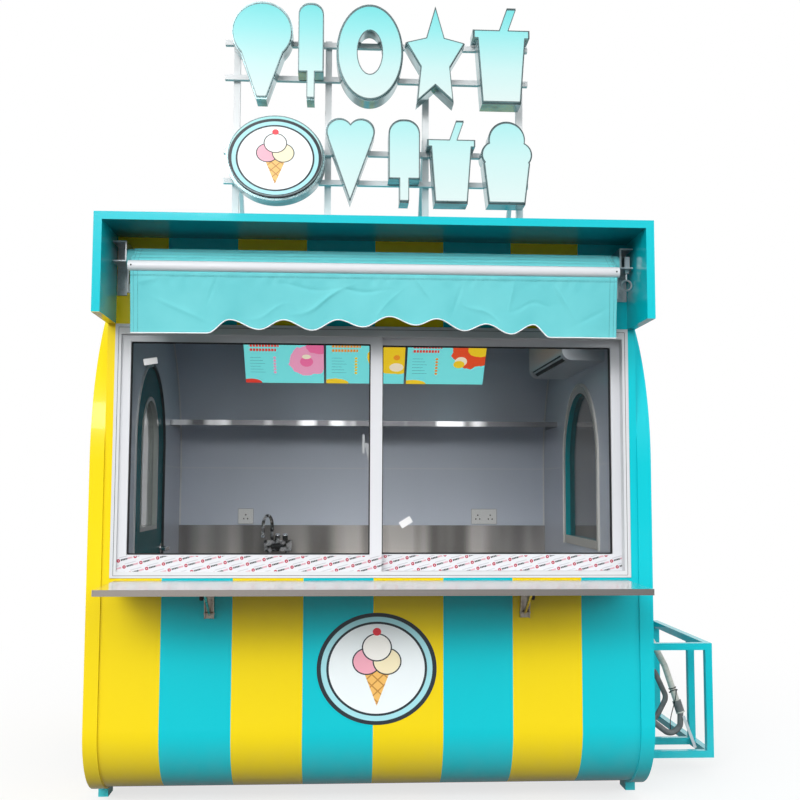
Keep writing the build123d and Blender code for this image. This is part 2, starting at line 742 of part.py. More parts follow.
sign_y = skin_front - 150
sign_upper = sign_low + sign_lower_height + sign_row_gap
sign_rows = (
    (sign_upper, sign_upper_height,
     ((cone_shape, -443, 234), (lolly_shape, -257, 97), (ring_shape, -32, 256),
      (star_shape, 219.5, 229), (cup_shape, 474.5, 221))),
    (sign_low, sign_lower_height,
     ((badge_shape, -387, 374), (heart_shape, -104, 186), (lolly_shape, 101, 120),
      (cup_shape, 280.5, 185), (muffin_shape, 493.5, 197))),
)
sign_half_width = 590.0
sign_face_skin = 6.0
rail = 20.0
sign_post = 25.0


def make_sign():
    """Two rows of channel shapes on rails, carried by posts on the hood roof."""
    cans = []
    faces = []
    rails = []
    can_front = sign_y - sign_can
    for low, height, shapes in sign_rows:
        for outline, x, width in shapes:
            cans.append(forward(Pos(x, low) * outline(width, height), sign_y, can_front))
            shrink = 0.95
            face = scale(outline(width, height), shrink)
            face = Pos(x, low + (1 - shrink) * height / 2) * face
            faces.append(forward(face, can_front, can_front - sign_face_skin))
        for share in (0.3, 0.66):
            z = low + share * height
            end = sign_half_width
            rails.append(block(-end, end, sign_y, sign_y + rail, z - rail / 2, z + rail / 2))
    nodes["sign_cans"] = Compound(cans)
    nodes["sign_faces"] = Compound(faces)
    nodes["sign_rails"] = Compound(rails)
    top = sign_upper + 0.72 * sign_upper_height
    posts = []
    stays = []
    post_back = sign_y + rail + sign_post
    stay_line = Polygon(
        (post_back, top - 290),
        (post_back + 330, hood_top),
        (post_back + 360, hood_top),
        (post_back, top - 264),
        align=None,
    )
    for x in (-545, -190, 190, 560):
        posts.append(block(x - sign_post / 2, x + sign_post / 2, sign_y + rail, post_back, hood_top, top))
        stays.append(across(stay_line, x - 8, x + 8))
    nodes["sign_posts"] = Compound(posts)
    nodes["sign_stays"] = Compound(stays)


make_shell()
make_service_box()
make_left_end()
make_door()
make_right_end()
make_service_window()
make_counter()
make_brackets()
make_awning()
make_fittings()
make_feet()
make_cage()
make_sign()

# The origin is the middle of the kiosk's footprint box, at ground level.
whole = Compound(list(nodes.values())).bounding_box()
shift = Pos(-(whole.min.X + whole.max.X) / 2, -(whole.min.Y + whole.max.Y) / 2, 0)
print("shift", shift.position)
for name, shape in nodes.items():
    export_step(shift * shape, f"parts/{name}.step")
print(len(nodes), "nodes")
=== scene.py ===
# %% [markdown]
# # A street kiosk, dressed over its CAD frame
# The kiosk is a loaf-shaped cabin with a flat hooded window on its front, a steel counter, a rolled
# awning, a side door and a roof sign. The CAD solids already have the right shape, so this script
# gives them paint, steel, glass and cloth, and adds what a solid can't show: cloth, gaskets, bolts,
# printed film and boards. The frame arrives in metres, standing on z = 0, with the street at -Y.

# %% Load the frame
import math

import bmesh
import bpy
import numpy as np
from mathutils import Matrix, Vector


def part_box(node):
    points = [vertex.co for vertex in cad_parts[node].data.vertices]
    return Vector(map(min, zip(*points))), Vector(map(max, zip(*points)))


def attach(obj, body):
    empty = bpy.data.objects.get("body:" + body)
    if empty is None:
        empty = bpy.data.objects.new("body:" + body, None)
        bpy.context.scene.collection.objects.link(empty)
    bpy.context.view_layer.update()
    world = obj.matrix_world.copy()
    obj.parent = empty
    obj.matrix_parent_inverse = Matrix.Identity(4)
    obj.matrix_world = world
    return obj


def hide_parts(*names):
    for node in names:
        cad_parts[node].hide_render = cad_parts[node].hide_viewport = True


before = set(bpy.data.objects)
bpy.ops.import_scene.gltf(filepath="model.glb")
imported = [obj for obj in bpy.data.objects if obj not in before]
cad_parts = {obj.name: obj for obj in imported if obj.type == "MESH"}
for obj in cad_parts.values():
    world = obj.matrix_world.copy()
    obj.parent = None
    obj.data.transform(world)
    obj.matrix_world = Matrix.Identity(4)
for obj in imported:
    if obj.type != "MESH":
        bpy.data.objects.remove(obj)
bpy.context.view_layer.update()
mm = 0.001

# %% Where the cabin stands
cabin_low = np.array(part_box("left_end_ring")[0])
cabin_high = np.array(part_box("right_end_ring")[1])
middle = (cabin_low + cabin_high) / 2
to_street = (0, -1, 0)
window_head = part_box("front_fascia")[0].z
print("cabin", cabin_high - cabin_low, "middle", middle)

# %% [markdown]
# The camera stands on the pavement, five metres off and a little left of the middle, at chest
# height. It looks slightly up, so that the sign and the feet both fit. A 47 mm lens keeps the hood
# in a natural perspective.

# %% Camera
camera_data = bpy.data.cameras.new("street_camera")
camera_data.lens = 47.44
camera_data.sensor_width = 36
camera = bpy.data.objects.new("street_camera", camera_data)
bpy.context.collection.objects.link(camera)
left_of_middle, distance, chest_height = 0.128, 5.136, 1.251
tilt_up, lean, turn_right = 4.73, -0.18, -3.17
camera.location = (middle[0] - left_of_middle, middle[1] - distance, chest_height)
camera.rotation_euler = (math.radians(90 + tilt_up), math.radians(lean), math.radians(turn_right))
bpy.context.scene.camera = camera
bpy.context.scene.view_settings.view_transform = "Standard"
print("camera at", tuple(camera.location))

# %% [markdown]
# ## Shapes from numbers
# Each new piece is a grid of points worked out at once with numpy. A grid of rows and columns needs
# only one rule for its faces, so every shape below returns points and quads, and one function turns
# them into a mesh whose object stays at the origin.

# %% Faces of a grid, and shells put together
def grid_quads(rows, columns, rows_meet=False, columns_meet=False):
    """Corner numbers of the quads between neighbouring rows and columns; either way may close up."""
    row, column = np.meshgrid(
        np.arange(rows if rows_meet else rows - 1),
        np.arange(columns if columns_meet else columns - 1),
        indexing="ij",
    )
    next_row, next_column = (row + 1) % rows, (column + 1) % columns
    corners = [row * columns + column, row * columns + next_column,
               next_row * columns + next_column, next_row * columns + column]
    return np.stack(corners, axis=-1).reshape(-1, 4)


def together(shells):
    """Several shells as one: each shell's corner numbers start after the points before it."""
    starts = np.cumsum([0] + [len(points) for points, _ in shells[:-1]])
    points = np.vstack([points for points, _ in shells])
    quads = np.vstack([quads + start for (_, quads), start in zip(shells, starts)])
    return points, quads


print("a grid of 3 by 4 points has", len(grid_quads(3, 4)), "quads")

# %% One mesh piece
def piece(name, shells, finish, body="kiosk", uv=None, closed=True, sharp=40):
    """Writes the shells into one mesh, gives it its finish and slot, and lets it ride on a body."""
    points, quads = together(shells)
    mesh = bpy.data.meshes.new(name)
    mesh.vertices.add(len(points))
    mesh.vertices.foreach_set("co", points.astype(np.float32).ravel())
    mesh.loops.add(quads.size)
    mesh.loops.foreach_set("vertex_index", quads.astype(np.int32).ravel())
    mesh.polygons.add(len(quads))
    mesh.polygons.foreach_set("loop_start", np.arange(0, quads.size, 4, dtype=np.int32))
    mesh.update(calc_edges=True)
    if uv is not None:
        layer = mesh.uv_layers.new(name="flat_cut")
        layer.data.foreach_set("uv", uv[quads.ravel()].astype(np.float32).ravel())
    if closed:
        work = bmesh.new()
        work.from_mesh(mesh)
        bmesh.ops.remove_doubles(work, verts=work.verts, dist=1e-6)
        bmesh.ops.recalc_face_normals(work, faces=work.faces)
        work.to_mesh(mesh)
        work.free()
    mesh.polygons.foreach_set("use_smooth", np.ones(len(mesh.polygons), bool))
    mesh.set_sharp_from_angle(angle=math.radians(sharp))
    mesh.materials.append(finish.material)
    made = bpy.data.objects.new(name, mesh)
    bpy.context.scene.collection.objects.link(made)
    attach(made, body)
    print(f"{name}: {len(mesh.polygons)} faces")
    return made


# %% Turned shapes
def turned(profile, centre, along=to_street, sides=20):
    """A lathe shape: each (radius, height) of the profile becomes a ring of that radius, that far
    along the axis from the centre."""
    radius, height = np.array(profile, float).T
    along = np.array(along, float)
    side = np.cross(along, (0, 0, 1) if abs(along[2]) < 0.9 else (1, 0, 0))
    side /= np.linalg.norm(side)
    other = np.cross(along, side)
    turn = np.linspace(0, 2 * np.pi, sides, endpoint=False)
    rim = np.cos(turn)[:, None] * side + np.sin(turn)[:, None] * other
    points = np.array(centre) + height[:, None, None] * along + radius[:, None, None] * rim
    return points.reshape(-1, 3), grid_quads(len(radius), sides, columns_meet=True)


print("turned shapes ready")

# %% Moulded blocks
def moulded(low, high, edge, steps=3):
    """A block with rounded edges: a small sphere of radius edge, whose eight quarters are pushed out
    to the block's corners, point = corner + edge * direction."""
    low, high = np.minimum(low, high), np.maximum(low, high)
    centre, half = (low + high) / 2, (high - low) / 2 - edge
    quarter = np.linspace(0, np.pi / 2, steps + 1)
    turn = np.concatenate([quarter + k * np.pi / 2 for k in range(4)])
    rise = np.concatenate([quarter - np.pi / 2, quarter])
    east = np.repeat([1, -1, -1, 1], steps + 1)
    north = np.repeat([1, 1, -1, -1], steps + 1)
    up = np.repeat([-1, 1], steps + 1)
    x = half[0] * east + edge * np.cos(rise)[:, None] * np.cos(turn)
    y = half[1] * north + edge * np.cos(rise)[:, None] * np.sin(turn)
    z = (half[2] * up + edge * np.sin(rise))[:, None] + 0 * x
    rows = np.stack([x, y, z], axis=-1)
    lid = np.zeros((1, len(turn), 3))
    rows = np.concatenate([lid + (0, 0, z[0, 0]), rows, lid + (0, 0, z[-1, 0])])
    return (rows + centre).reshape(-1, 3), grid_quads(len(rows), len(turn), columns_meet=True)


print("moulded blocks ready")

# %% Carried outlines
def carried(path, outline, facing, path_meets=False):
    """An outline carried along a path: point = path + a * side + b * up, where up is the facing
    direction made square to the path. Open ends close to a point."""
    path, outline = np.array(path, float), np.array(outline, float)
    if path_meets:
        run = np.roll(path, -1, axis=0) - np.roll(path, 1, axis=0)
    else:
        run = np.gradient(path, axis=0)
    run /= np.linalg.norm(run, axis=1, keepdims=True)
    side = np.cross(run, np.array(facing, float))
    side /= np.linalg.norm(side, axis=1, keepdims=True)
    up = np.cross(side, run)
    rows = path[:, None] + outline[:, 0, None] * side[:, None] + outline[:, 1, None] * up[:, None]
    if not path_meets:
        ends = np.repeat(path[[0, -1], None], len(outline), axis=1)
        rows = np.concatenate([ends[:1], rows, ends[1:]])
    return rows.reshape(-1, 3), grid_quads(len(rows), len(outline), path_meets, True)


print("carried outlines ready")

# %% Outlines to carry, and the loops they follow
def circle(radius, steps=12):
    """Points round a circle."""
    turn = np.linspace(0, 2 * np.pi, steps, endpoint=False)
    return radius * np.stack([np.cos(turn), np.sin(turn)], axis=-1)


def oblong(width, height):
    """A flat strip's outline with its four corners just broken."""
    a, b, c = width / 2, height / 2, min(width, height) / 6
    return np.array([(a, b - c), (a - c, b), (c - a, b), (-a, b - c),
                     (-a, c - b), (c - a, -b), (a - c, -b), (a, c - b)])


def window_loop(x0, x1, z0, z1, y, corner=6 * mm, steps=5):
    """A closed path round an upright rectangle, each corner a small quarter circle."""
    quarter = np.linspace(0, np.pi / 2, steps)
    turn = np.concatenate([quarter + k * np.pi / 2 for k in range(4)])
    x = np.repeat([x1 - corner, x0 + corner, x0 + corner, x1 - corner], steps) + corner * np.cos(turn)
    z = np.repeat([z1 - corner, z1 - corner, z0 + corner, z0 + corner], steps) + corner * np.sin(turn)
    return np.stack([x, np.full_like(x, y), z], axis=-1)


print("a circle has", len(circle(1.0)), "points and an oblong", len(oblong(1.0, 1.0)))

# %% The outline of a CAD node's flat face
def outline_of(name, facing):
    """Edges, as pairs of points, that only one face looking this way uses: its outline."""
    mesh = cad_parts[name].data
    mesh.calc_loop_triangles()
    points = np.zeros(len(mesh.vertices) * 3, np.float32)
    mesh.vertices.foreach_get("co", points)
    points = points.reshape(-1, 3).round(5)
    corners = np.zeros(len(mesh.loop_triangles) * 3, np.int32)
    mesh.loop_triangles.foreach_get("vertices", corners)
    points, number = np.unique(points, axis=0, return_inverse=True)
    corners = number.ravel()[corners].reshape(-1, 3)
    a, b, c = points[corners].transpose(1, 0, 2)
    normal = np.cross(b - a, c - a)
    normal /= np.linalg.norm(normal, axis=1, keepdims=True) + 1e-12
    corners = corners[normal @ np.array(facing, float) > 0.98]
    edges = np.sort(np.vstack([corners[:, [0, 1]], corners[:, [1, 2]], corners[:, [2, 0]]]), axis=1)
    edges, uses = np.unique(edges, axis=0, return_counts=True)
    return points[edges[uses == 1]].astype(float)


print("the door's trim has", len(outline_of("door_frame_trim", (-1, 0, 0))), "edges on its outer face")

# %% A strip along an outline
def edged(pairs, facing, width, height):
    """A thin strip along each edge: corner = end + width * side + height * facing, a box per edge."""
    start, end = pairs[:, 0], pairs[:, 1]
    run = end - start
    run /= np.linalg.norm(run, axis=1, keepdims=True)
    side = np.cross(run, np.array(facing, float)) * width / 2
    up = np.array(facing, float) * height
    start, end = start - run * 0.2 * width, end + run * 0.2 * width
    rings = [np.stack([at - side - up / 2, at + side - up / 2,
                       at + side + up / 2, at - side + up / 2], axis=1) for at in (start, end)]
    points = np.concatenate(rings, axis=1)
    faces = np.array([(0, 1, 2, 3), (4, 7, 6, 5), (0, 4, 5, 1), (1, 5, 6, 2), (2, 6, 7, 3), (3, 7, 4, 0)])
    quads = faces[None] + 8 * np.arange(len(points))[:, None, None]
    return points.reshape(-1, 3), quads.reshape(-1, 4)


print("shape helpers ready")

# %% [markdown]
# ## Finishes from sums
# A finish is a Principled shader whose inputs change over the surface: paint that is duller where
# dust lies, steel that shines along its scratches. Nodes can be placed and wired one at a time, but
# a stripe then takes five of them and reads like a wiring list. So three small classes do it. A
# Field wraps a socket, and `(x / width) % 1 < 0.5` writes its own Math nodes. Nodes wraps a tree and
# adds every other kind of node by one method. A Finish is such a tree with a Principled shader.

# %% A number that changes over a surface
class Field:
    """A socket's number. Arithmetic and comparisons on it add Math nodes."""

    def __init__(self, nodes, socket):
        self.nodes, self.socket = nodes, socket

    def step(self, operation, *values):
        return self.nodes.node("ShaderNodeMath", {"operation": operation}, dict(enumerate(values)))

    def __add__(self, other):
        return self.step("ADD", self, other)

    def __sub__(self, other):
        return self.step("SUBTRACT", self, other)

    def __rsub__(self, other):
        return self.step("SUBTRACT", other, self)

    def __mul__(self, other):
        return self.step("MULTIPLY", self, other)

    def __truediv__(self, other):
        return self.step("DIVIDE", self, other)

    def __mod__(self, other):
        return self.step("FLOORED_MODULO", self, other)

    def __pow__(self, other):
        return self.step("POWER", self, other)

    def __lt__(self, other):
        return self.step("LESS_THAN", self, other)

    def __gt__(self, other):
        return self.step("GREATER_THAN", self, other)

    def __or__(self, other):
        return self.step("MAXIMUM", self, other)

    def __and__(self, other):
        return self.step("MULTIPLY", self, other)

    def __abs__(self):
        return self.step("ABSOLUTE", self)

    __radd__ = __add__
    __rmul__ = __mul__

    def floor(self):
        return self.step("FLOOR", self)

    def wave(self):
        return self.step("SINE", self)

    def between(self, low, high):
        """1 where the number lies between the two, else 0."""
        return (self > low) & (self < high)


print("fields ready")

# %% A node tree
class Nodes:
    """A node tree, and the one method that adds any node to it."""

    def __init__(self, tree):
        self.tree = tree

    def plug(self, socket, value):
        """Links a field to the socket, or sets a plain value on it."""
        if isinstance(value, Field):
            self.tree.links.new(value.socket, socket)
        elif socket.type == "RGBA":
            socket.default_value = (*value[:3], 1.0)
        else:
            socket.default_value = value

    def node(self, kind, settings, inputs, output=0):
        """Any node: its settings first, then its sockets by number or name."""
        made = self.tree.nodes.new(kind)
        for key, value in settings.items():
            if key == "stops":
                ramp = made.color_ramp.elements
                for place, color in value[2:]:
                    ramp.new(place)
                for element, (place, color) in zip(ramp, value):
                    element.position, element.color = place, (*color, 1.0)
            else:
                setattr(made, key, value)
        for key, value in inputs.items():
            self.plug(made.inputs[key], value)
        return Field(self, made.outputs[output])

    def mix(self, share, first, second):
        """The first colour where share is 0 and the second where it is 1."""
        return self.node("ShaderNodeMix", {"data_type": "RGBA"}, {0: share, 6: first, 7: second}, 2)

    def choose(self, share, first, second):
        """The first number where share is 0 and the second where it is 1."""
        return self.node("ShaderNodeMix", {"data_type": "FLOAT"}, {0: share, 2: first, 3: second})

    def eased(self, value, low, high, at_low, at_high):
        """Maps a number from one span to another, smoothly and without going past its ends."""
        spans = {"Value": value, "From Min": low, "From Max": high, "To Min": at_low, "To Max": at_high}
        return self.node("ShaderNodeMapRange", {"interpolation_type": "SMOOTHSTEP"}, spans, "Result")

    def split(self, vector):
        """A vector's three numbers, each as a field."""
        return [self.node("ShaderNodeSeparateXYZ", {}, {0: vector}, k) for k in range(3)]

    def ray(self, kind):
        """1 for light paths of this kind, such as Camera or Glossy, else 0."""
        return self.node("ShaderNodeLightPath", {}, {}, f"Is {kind} Ray")


print("node tree ready")

# %% A finish
class Finish(Nodes):
    """One material: a Principled shader and the nodes that feed it."""

    def __init__(self, name, color, roughness, metallic=0.0, **settings):
        self.material = bpy.data.materials.new(name)
        self.material.use_nodes = True
        super().__init__(self.material.node_tree)
        self.tree.nodes.clear()
        self.shader = self.tree.nodes.new("ShaderNodeBsdfPrincipled")
        self.output = self.tree.nodes.new("ShaderNodeOutputMaterial")
        self.tree.links.new(self.shader.outputs[0], self.output.inputs[0])
        self.coordinates = self.tree.nodes.new("ShaderNodeTexCoord")
        self.put(base_color=color, roughness=roughness, metallic=metallic, **settings)

    def put(self, **values):
        """Sets or links inputs of the shader, named with underscores."""
        for key, value in values.items():
            name = key.replace("_", " ").title().replace("Ior", "IOR")
            self.plug(self.shader.inputs[name], value)
        return self

    def place(self, about=(0, 0, 0), source="Object", turn=(0, 0, 0), scale=(1, 1, 1)):
        """Surface coordinates measured from a point, then turned and stretched."""
        shift = self.node("ShaderNodeVectorMath", {"operation": "SUBTRACT"},
                          {0: Field(self, self.coordinates.outputs[source]), 1: tuple(about)})
        return self.node("ShaderNodeMapping", {"vector_type": "POINT"},
                         {0: shift, 2: tuple(turn), 3: tuple(scale)})

    def axes(self, *place, **words):
        """The three numbers of a place, each as a field."""
        return self.split(self.place(*place, **words))

    def noise(self, size, detail=3.0, rough=0.5, stretch=(1, 1, 1), source="Object"):
        """Cloudy noise whose lumps are about this size, from 0 to 1."""
        spot = self.place(source=source, scale=stretch)
        return self.node("ShaderNodeTexNoise", {"noise_dimensions": "3D"},
                         {"Vector": spot, "Scale": 1 / size, "Detail": detail, "Roughness": rough})

    def bump(self, height, depth, strength=1.0):
        """Raises the surface by height times depth, in metres."""
        self.put(normal=self.node("ShaderNodeBump", {}, {
            "Strength": strength, "Distance": depth, "Height": height}))
        return self

    def inside(self, centre):
        """1 on faces that look towards the centre, such as a cabin's liner, else 0."""
        shift = self.place(about=centre)
        facing = Field(self, self.coordinates.outputs["Normal"])
        outward = self.node("ShaderNodeVectorMath", {"operation": "DOT_PRODUCT"}, {0: shift, 1: facing}, 1)
        return outward < 0.0


def dress(name, finish):
    """Gives a CAD node this finish alone."""
    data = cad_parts[name].data
    data.materials.clear()
    data.materials.append(finish.material)


print("finish helpers ready")

# %% [markdown]
# ## Enamel
# The cabin's skin is steel sheet with a thick glossy paint, sprayed in wide upright stripes. A coat
# layer gives the wet shine, a faint bump the sprayed texture, and a little dust gathers low down.
# The stripes could be separate strips of mesh, but paint has no edges to catch the light, so they
# are a pattern: the distance from the middle, divided by a stripe's width, is odd or even.
# The same panels are pale grey liner on the inside, so a mask swaps the colours where a face looks
# towards the cabin's middle.

# %% Colours
teal = (0.0, 0.54, 0.62)
yellow = (0.87, 0.66, 0.004)
deep_teal = (0.002, 0.105, 0.118)
liner_grey = (0.65, 0.70, 0.79)
stripe = 272 * mm
cabin_heart = (middle[0], middle[1], 1.15)
print("stripe", stripe, "heart of the cabin", cabin_heart)

# %% Sprayed enamel, dust and liner
def sprayed(name, color):
    """Glossy enamel: roughness a touch uneven, and a fine sprayed texture."""
    enamel = Finish(name, color, 0.24, coat_weight=0.35, coat_roughness=0.06, specular_ior_level=0.22)
    cloud = enamel.noise(0.35, detail=4)
    fine = enamel.noise(6 * mm, detail=1)
    enamel.put(roughness=cloud * 0.12 + 0.18)
    enamel.bump(fine, 0.05 * mm)
    return enamel


def weathered(enamel, color):
    """The colour with cloudy dust rising from the ground."""
    height = enamel.axes((0, 0, 0))[2]
    dust = (1 - height / 0.3) * enamel.noise(0.08, detail=5) * (height < 0.3) * 0.22
    return enamel.mix(dust, color, (0.42, 0.40, 0.34))


def lined(enamel, color):
    """The outside colour, or the pale liner with its seam on faces that look inwards."""
    height = enamel.axes((0, 0, 0))[2]
    seam = abs(height - 1358 * mm) < 3 * mm
    smear = enamel.noise(0.5, detail=4, stretch=(1, 1, 0.3))
    liner = enamel.mix(smear, tuple(c * 0.86 for c in liner_grey), tuple(c * 1.1 for c in liner_grey))
    liner = enamel.mix(seam * 0.5, liner, (0.8, 0.8, 0.8))
    inward = enamel.inside(cabin_heart)
    enamel.put(coat_weight=(1 - inward) * 0.35)
    return enamel.mix(inward, color, liner)


print("sprayed, weathered and lined ready")

# %% Stripes
def striped(name):
    """Yellow and teal stripes of one width: teal on the even ones, counted from the middle."""
    enamel = sprayed(name, teal)
    across = enamel.axes((middle[0], 0, 0))[0]
    is_yellow = ((across / stripe).floor() % 2) < 0.5
    color = enamel.mix(is_yellow, teal, yellow)
    enamel.put(base_color=lined(enamel, weathered(enamel, color)))
    return enamel


stripes = striped("striped_enamel")
teal_enamel = sprayed("teal_enamel", teal)
teal_enamel.put(base_color=weathered(teal_enamel, teal))
yellow_enamel = sprayed("yellow_enamel", yellow)
yellow_enamel.put(base_color=weathered(yellow_enamel, yellow))
teal_wall = sprayed("teal_end_wall", teal)
teal_wall.put(base_color=lined(teal_wall, weathered(teal_wall, teal)))
yellow_wall = sprayed("yellow_end_wall", yellow)
yellow_wall.put(base_color=lined(yellow_wall, weathered(yellow_wall, yellow)))
print("stripes, teal and yellow ready")

# %% Cheek, hood and door
left_cheek = sprayed("left_cheek_enamel", teal)
cheek_height = left_cheek.axes((0, 0, window_head))[2]
left_cheek.put(base_color=left_cheek.mix(cheek_height < 1 * mm, teal, yellow))
hood_enamel = sprayed("hood_enamel", teal)
# Faces that look down, the hood's underside, are painted a dark teal: painted shade.
shaded_underside = hood_enamel.axes(source="Normal")[2] < -0.6
hood_enamel.put(base_color=hood_enamel.mix(shaded_underside, weathered(hood_enamel, teal), (0.0, 0.25, 0.29)),
                coat_weight=(1 - shaded_underside) * 0.35)
door_enamel = sprayed("door_enamel", deep_teal)
outward = door_enamel.axes(source="Normal")[0] < -0.5
door_enamel.put(base_color=door_enamel.mix(door_enamel.noise(0.3), deep_teal, (0.002, 0.15, 0.165)),
                coat_weight=outward * 0.25, specular_ior_level=0.02)
print("cheek, hood and door ready")


# %% Rings that are another colour inside
def two_faced(name, inner_side, inner_color, edge_color, outer_color):
    """One colour on faces towards the cabin, one on the edges between and one on the outside."""
    enamel = sprayed(name, outer_color)
    facing = enamel.axes(source="Normal")[0] * inner_side
    color = enamel.mix(facing > -0.6, outer_color, edge_color)
    enamel.put(base_color=enamel.mix(facing > 0.6, color, inner_color))
    return enamel


side_ring = two_faced("side_window_enamel", -1, (0.62, 0.61, 0.56), (0.0, 0.30, 0.34), deep_teal)
door_ring = two_faced("door_glazing_enamel", 1, (0.52, 0.55, 0.52), (0.30, 0.33, 0.31), deep_teal)
print("enamels ready")

# %% [markdown]
# ## White frames and their film
# The window is white powder-coated aluminium. Its bottom rails still wear a protective film, printed
# in slanted rows of dashes and dots. An image would be the usual way to print a film. Here the
# coordinate is turned and its remainder taken, so that one small cell of marks repeats for as long
# as the rail is, and each mark stays sharp at any distance.

# %% Powder coat
def powder_coated(name, color=(0.66, 0.68, 0.70)):
    """Satin powder coat with a fine grain and soft grey handling marks."""
    coat = Finish(name, color, 0.34)
    smudge = coat.noise(0.12, detail=5)
    coat.put(base_color=coat.mix(smudge * 0.35, color, tuple(0.78 * c for c in color)))
    coat.put(roughness=smudge * 0.2 + 0.26)
    coat.bump(coat.noise(1.2 * mm, detail=1), 0.04 * mm)
    return coat


white_frame = powder_coated("white_frame_coat")
print("powder coat ready")

# %% The film's cell: a ring, dashes and a row of small marks
sill_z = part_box("left_sash")[0].z
film_top = sill_z + 64 * mm
film = powder_coated("filmed_sash_coat")
slant_x, _, slant_z = film.axes((middle[0], 0, sill_z), turn=(0, math.radians(15), 0))
row_pitch, repeat, row_shift = 28 * mm, 66 * mm, 15.6 * mm
row = (slant_z / row_pitch).floor()
in_row = (slant_z % row_pitch) - row_pitch / 2
along_row = (slant_x + row * row_shift) % repeat
dot_x = along_row - 9 * mm
dot = ((dot_x * dot_x + in_row * in_row) ** 0.5).between(2 * mm, 6.6 * mm)
word = abs(in_row) < 3.2 * mm
dash = word & along_row.between(18 * mm, 45 * mm) & ((along_row % (6.2 * mm)) < 5.0 * mm)
pink_dash = word & along_row.between(46 * mm, 63 * mm) & ((along_row % (3.8 * mm)) < 2.2 * mm)
small_word = abs(in_row - 10 * mm) < 1.4 * mm
grey_dash = small_word & along_row.between(14 * mm, 58 * mm) & ((along_row % (3.4 * mm)) < 2.4 * mm)
print("rows every", row_pitch, "and marks every", repeat)

# %% The film's print
rail_face = film.axes((0, 0, 0))[2] < film_top - 4 * mm
printed = film.mix((grey_dash & rail_face) * 0.6, (0.67, 0.68, 0.71), (0.22, 0.20, 0.24))
printed = film.mix((dash & rail_face) * 1.0, printed, (0.004, 0.004, 0.006))
printed = film.mix((pink_dash & rail_face) * 0.85, printed, (0.55, 0.03, 0.10))
film.put(base_color=film.mix(dot & rail_face, printed, (0.42, 0.006, 0.045)))
print("film print ready")

# %% [markdown]
# ## Glass and rubber
# Float glass is thin and nearly clear, and what shows of it is its reflection. A refracting shader
# would be truer, but it darkens a room behind two panes and is slow to settle. So the glass is a
# smooth dark shader that lets most of the view through by its alpha. The door's and the side
# window's panes are tinted, so theirs is higher. Rubber and the dark gaps are matt, with a fine
# grain that keeps them from looking like holes.

# %% Glass and rubber
pane_glass = Finish("float_glass", (0.03, 0.036, 0.04), 0.02, alpha=0.10, ior=1.5)
door_glass = Finish("tinted_door_glass", (0.05, 0.065, 0.06), 0.03, alpha=0.45, ior=1.5)
side_glass = Finish("tinted_side_glass", (0.04, 0.045, 0.042), 0.03, alpha=0.80, ior=1.5)
trim_shadow = Finish("grey_joint", (0.16, 0.17, 0.18), 0.6)
trim_shadow.bump(trim_shadow.noise(3 * mm), 0.1 * mm)
rubber = Finish("black_rubber", (0.012, 0.012, 0.014), 0.5)
rubber.bump(rubber.noise(3 * mm), 0.1 * mm)
# Where this near-black lies in a hole, slot or groove, it is painted shade.
black_gap = Finish("dark_slot", (0.006, 0.006, 0.007), 0.8)
black_gap.bump(black_gap.noise(4 * mm), 0.1 * mm)
print("glass and rubber ready")

# %% [markdown]
# ## Bare metals
# Bare metal has hardly any colour of its own: it shows the room, blurred by its scratches. So each
# metal here is a roughness first. Brushed stainless has scratches along one direction only, and its
# noise is stretched until the lumps become lines. A scan of real steel would also do, but it would
# need an image and would repeat. Zinc plate is duller and mottled, the tap and the door's levers are
# chromed, and the sign's returns are polished like a mirror.

# %% Brushed stainless and the counter
def brushed(name, color, stretch, rough=0.27):
    """Stainless sheet: long fine scratches drive both roughness and a shallow bump."""
    steel = Finish(name, color, rough, 1.0)
    scratch = steel.noise(1.6 * mm, detail=2, stretch=stretch)
    haze = steel.noise(0.18, detail=4)
    steel.put(roughness=scratch * 0.16 + haze * 0.14 + (rough - 0.14))
    steel.bump(scratch, 0.03 * mm)
    return steel


stainless = brushed("brushed_stainless", (0.60, 0.58, 0.55), (0.02, 1, 1))
counter_steel = Finish("satin_counter_steel", (0.62, 0.60, 0.58), 0.2, 1.0)
grain = counter_steel.noise(1.2 * mm, detail=1, stretch=(0.01, 1, 1))
counter_steel.put(roughness=grain * 0.06 + counter_steel.noise(0.25) * 0.08 + 0.12)
counter_steel.bump(grain, 0.008 * mm)
# Painted reflection and painted shade: faces that look up are nearly white, and the front lip runs from lit
# beige at the left end to shaded grey at the right, as the light falls from the left.
reflecting_top = counter_steel.axes(source="Normal")[2] > 0.7
lip_light_falloff = counter_steel.axes((middle[0] - 1.1, 0, 0))[0] / 2.2
lit_to_shaded_lip = counter_steel.mix(lip_light_falloff, (0.66, 0.60, 0.55), (0.36, 0.35, 0.34))
counter_steel.put(base_color=counter_steel.mix(reflecting_top, lit_to_shaded_lip, (0.90, 0.89, 0.87)))
print("stainless ready")

# %% [markdown]
# The brackets are mottled dark and pale, and the bench and shelf stand in a dim cabin where they
# mirror only a few pale and dark patches. A room built to be mirrored would be slow to render for so
# small a view, so their colours carry the patches as painted reflection: noise that is stretched along
# the sheet and then sharpened.

# %% Mottled brackets, bench and shelf
mottled_steel = Finish("aged_bracket_steel", (0.42, 0.38, 0.33), 0.3, 1.0)
mottle = mottled_steel.noise(14 * mm, detail=3)
mottled_steel.put(base_color=mottled_steel.mix(mottle, (0.20, 0.17, 0.14), (0.66, 0.60, 0.52)),
               roughness=mottle * 0.3 + 0.15)
shop_steel = Finish("polished_shop_steel", (0.62, 0.55, 0.50), 0.2, 0.5)
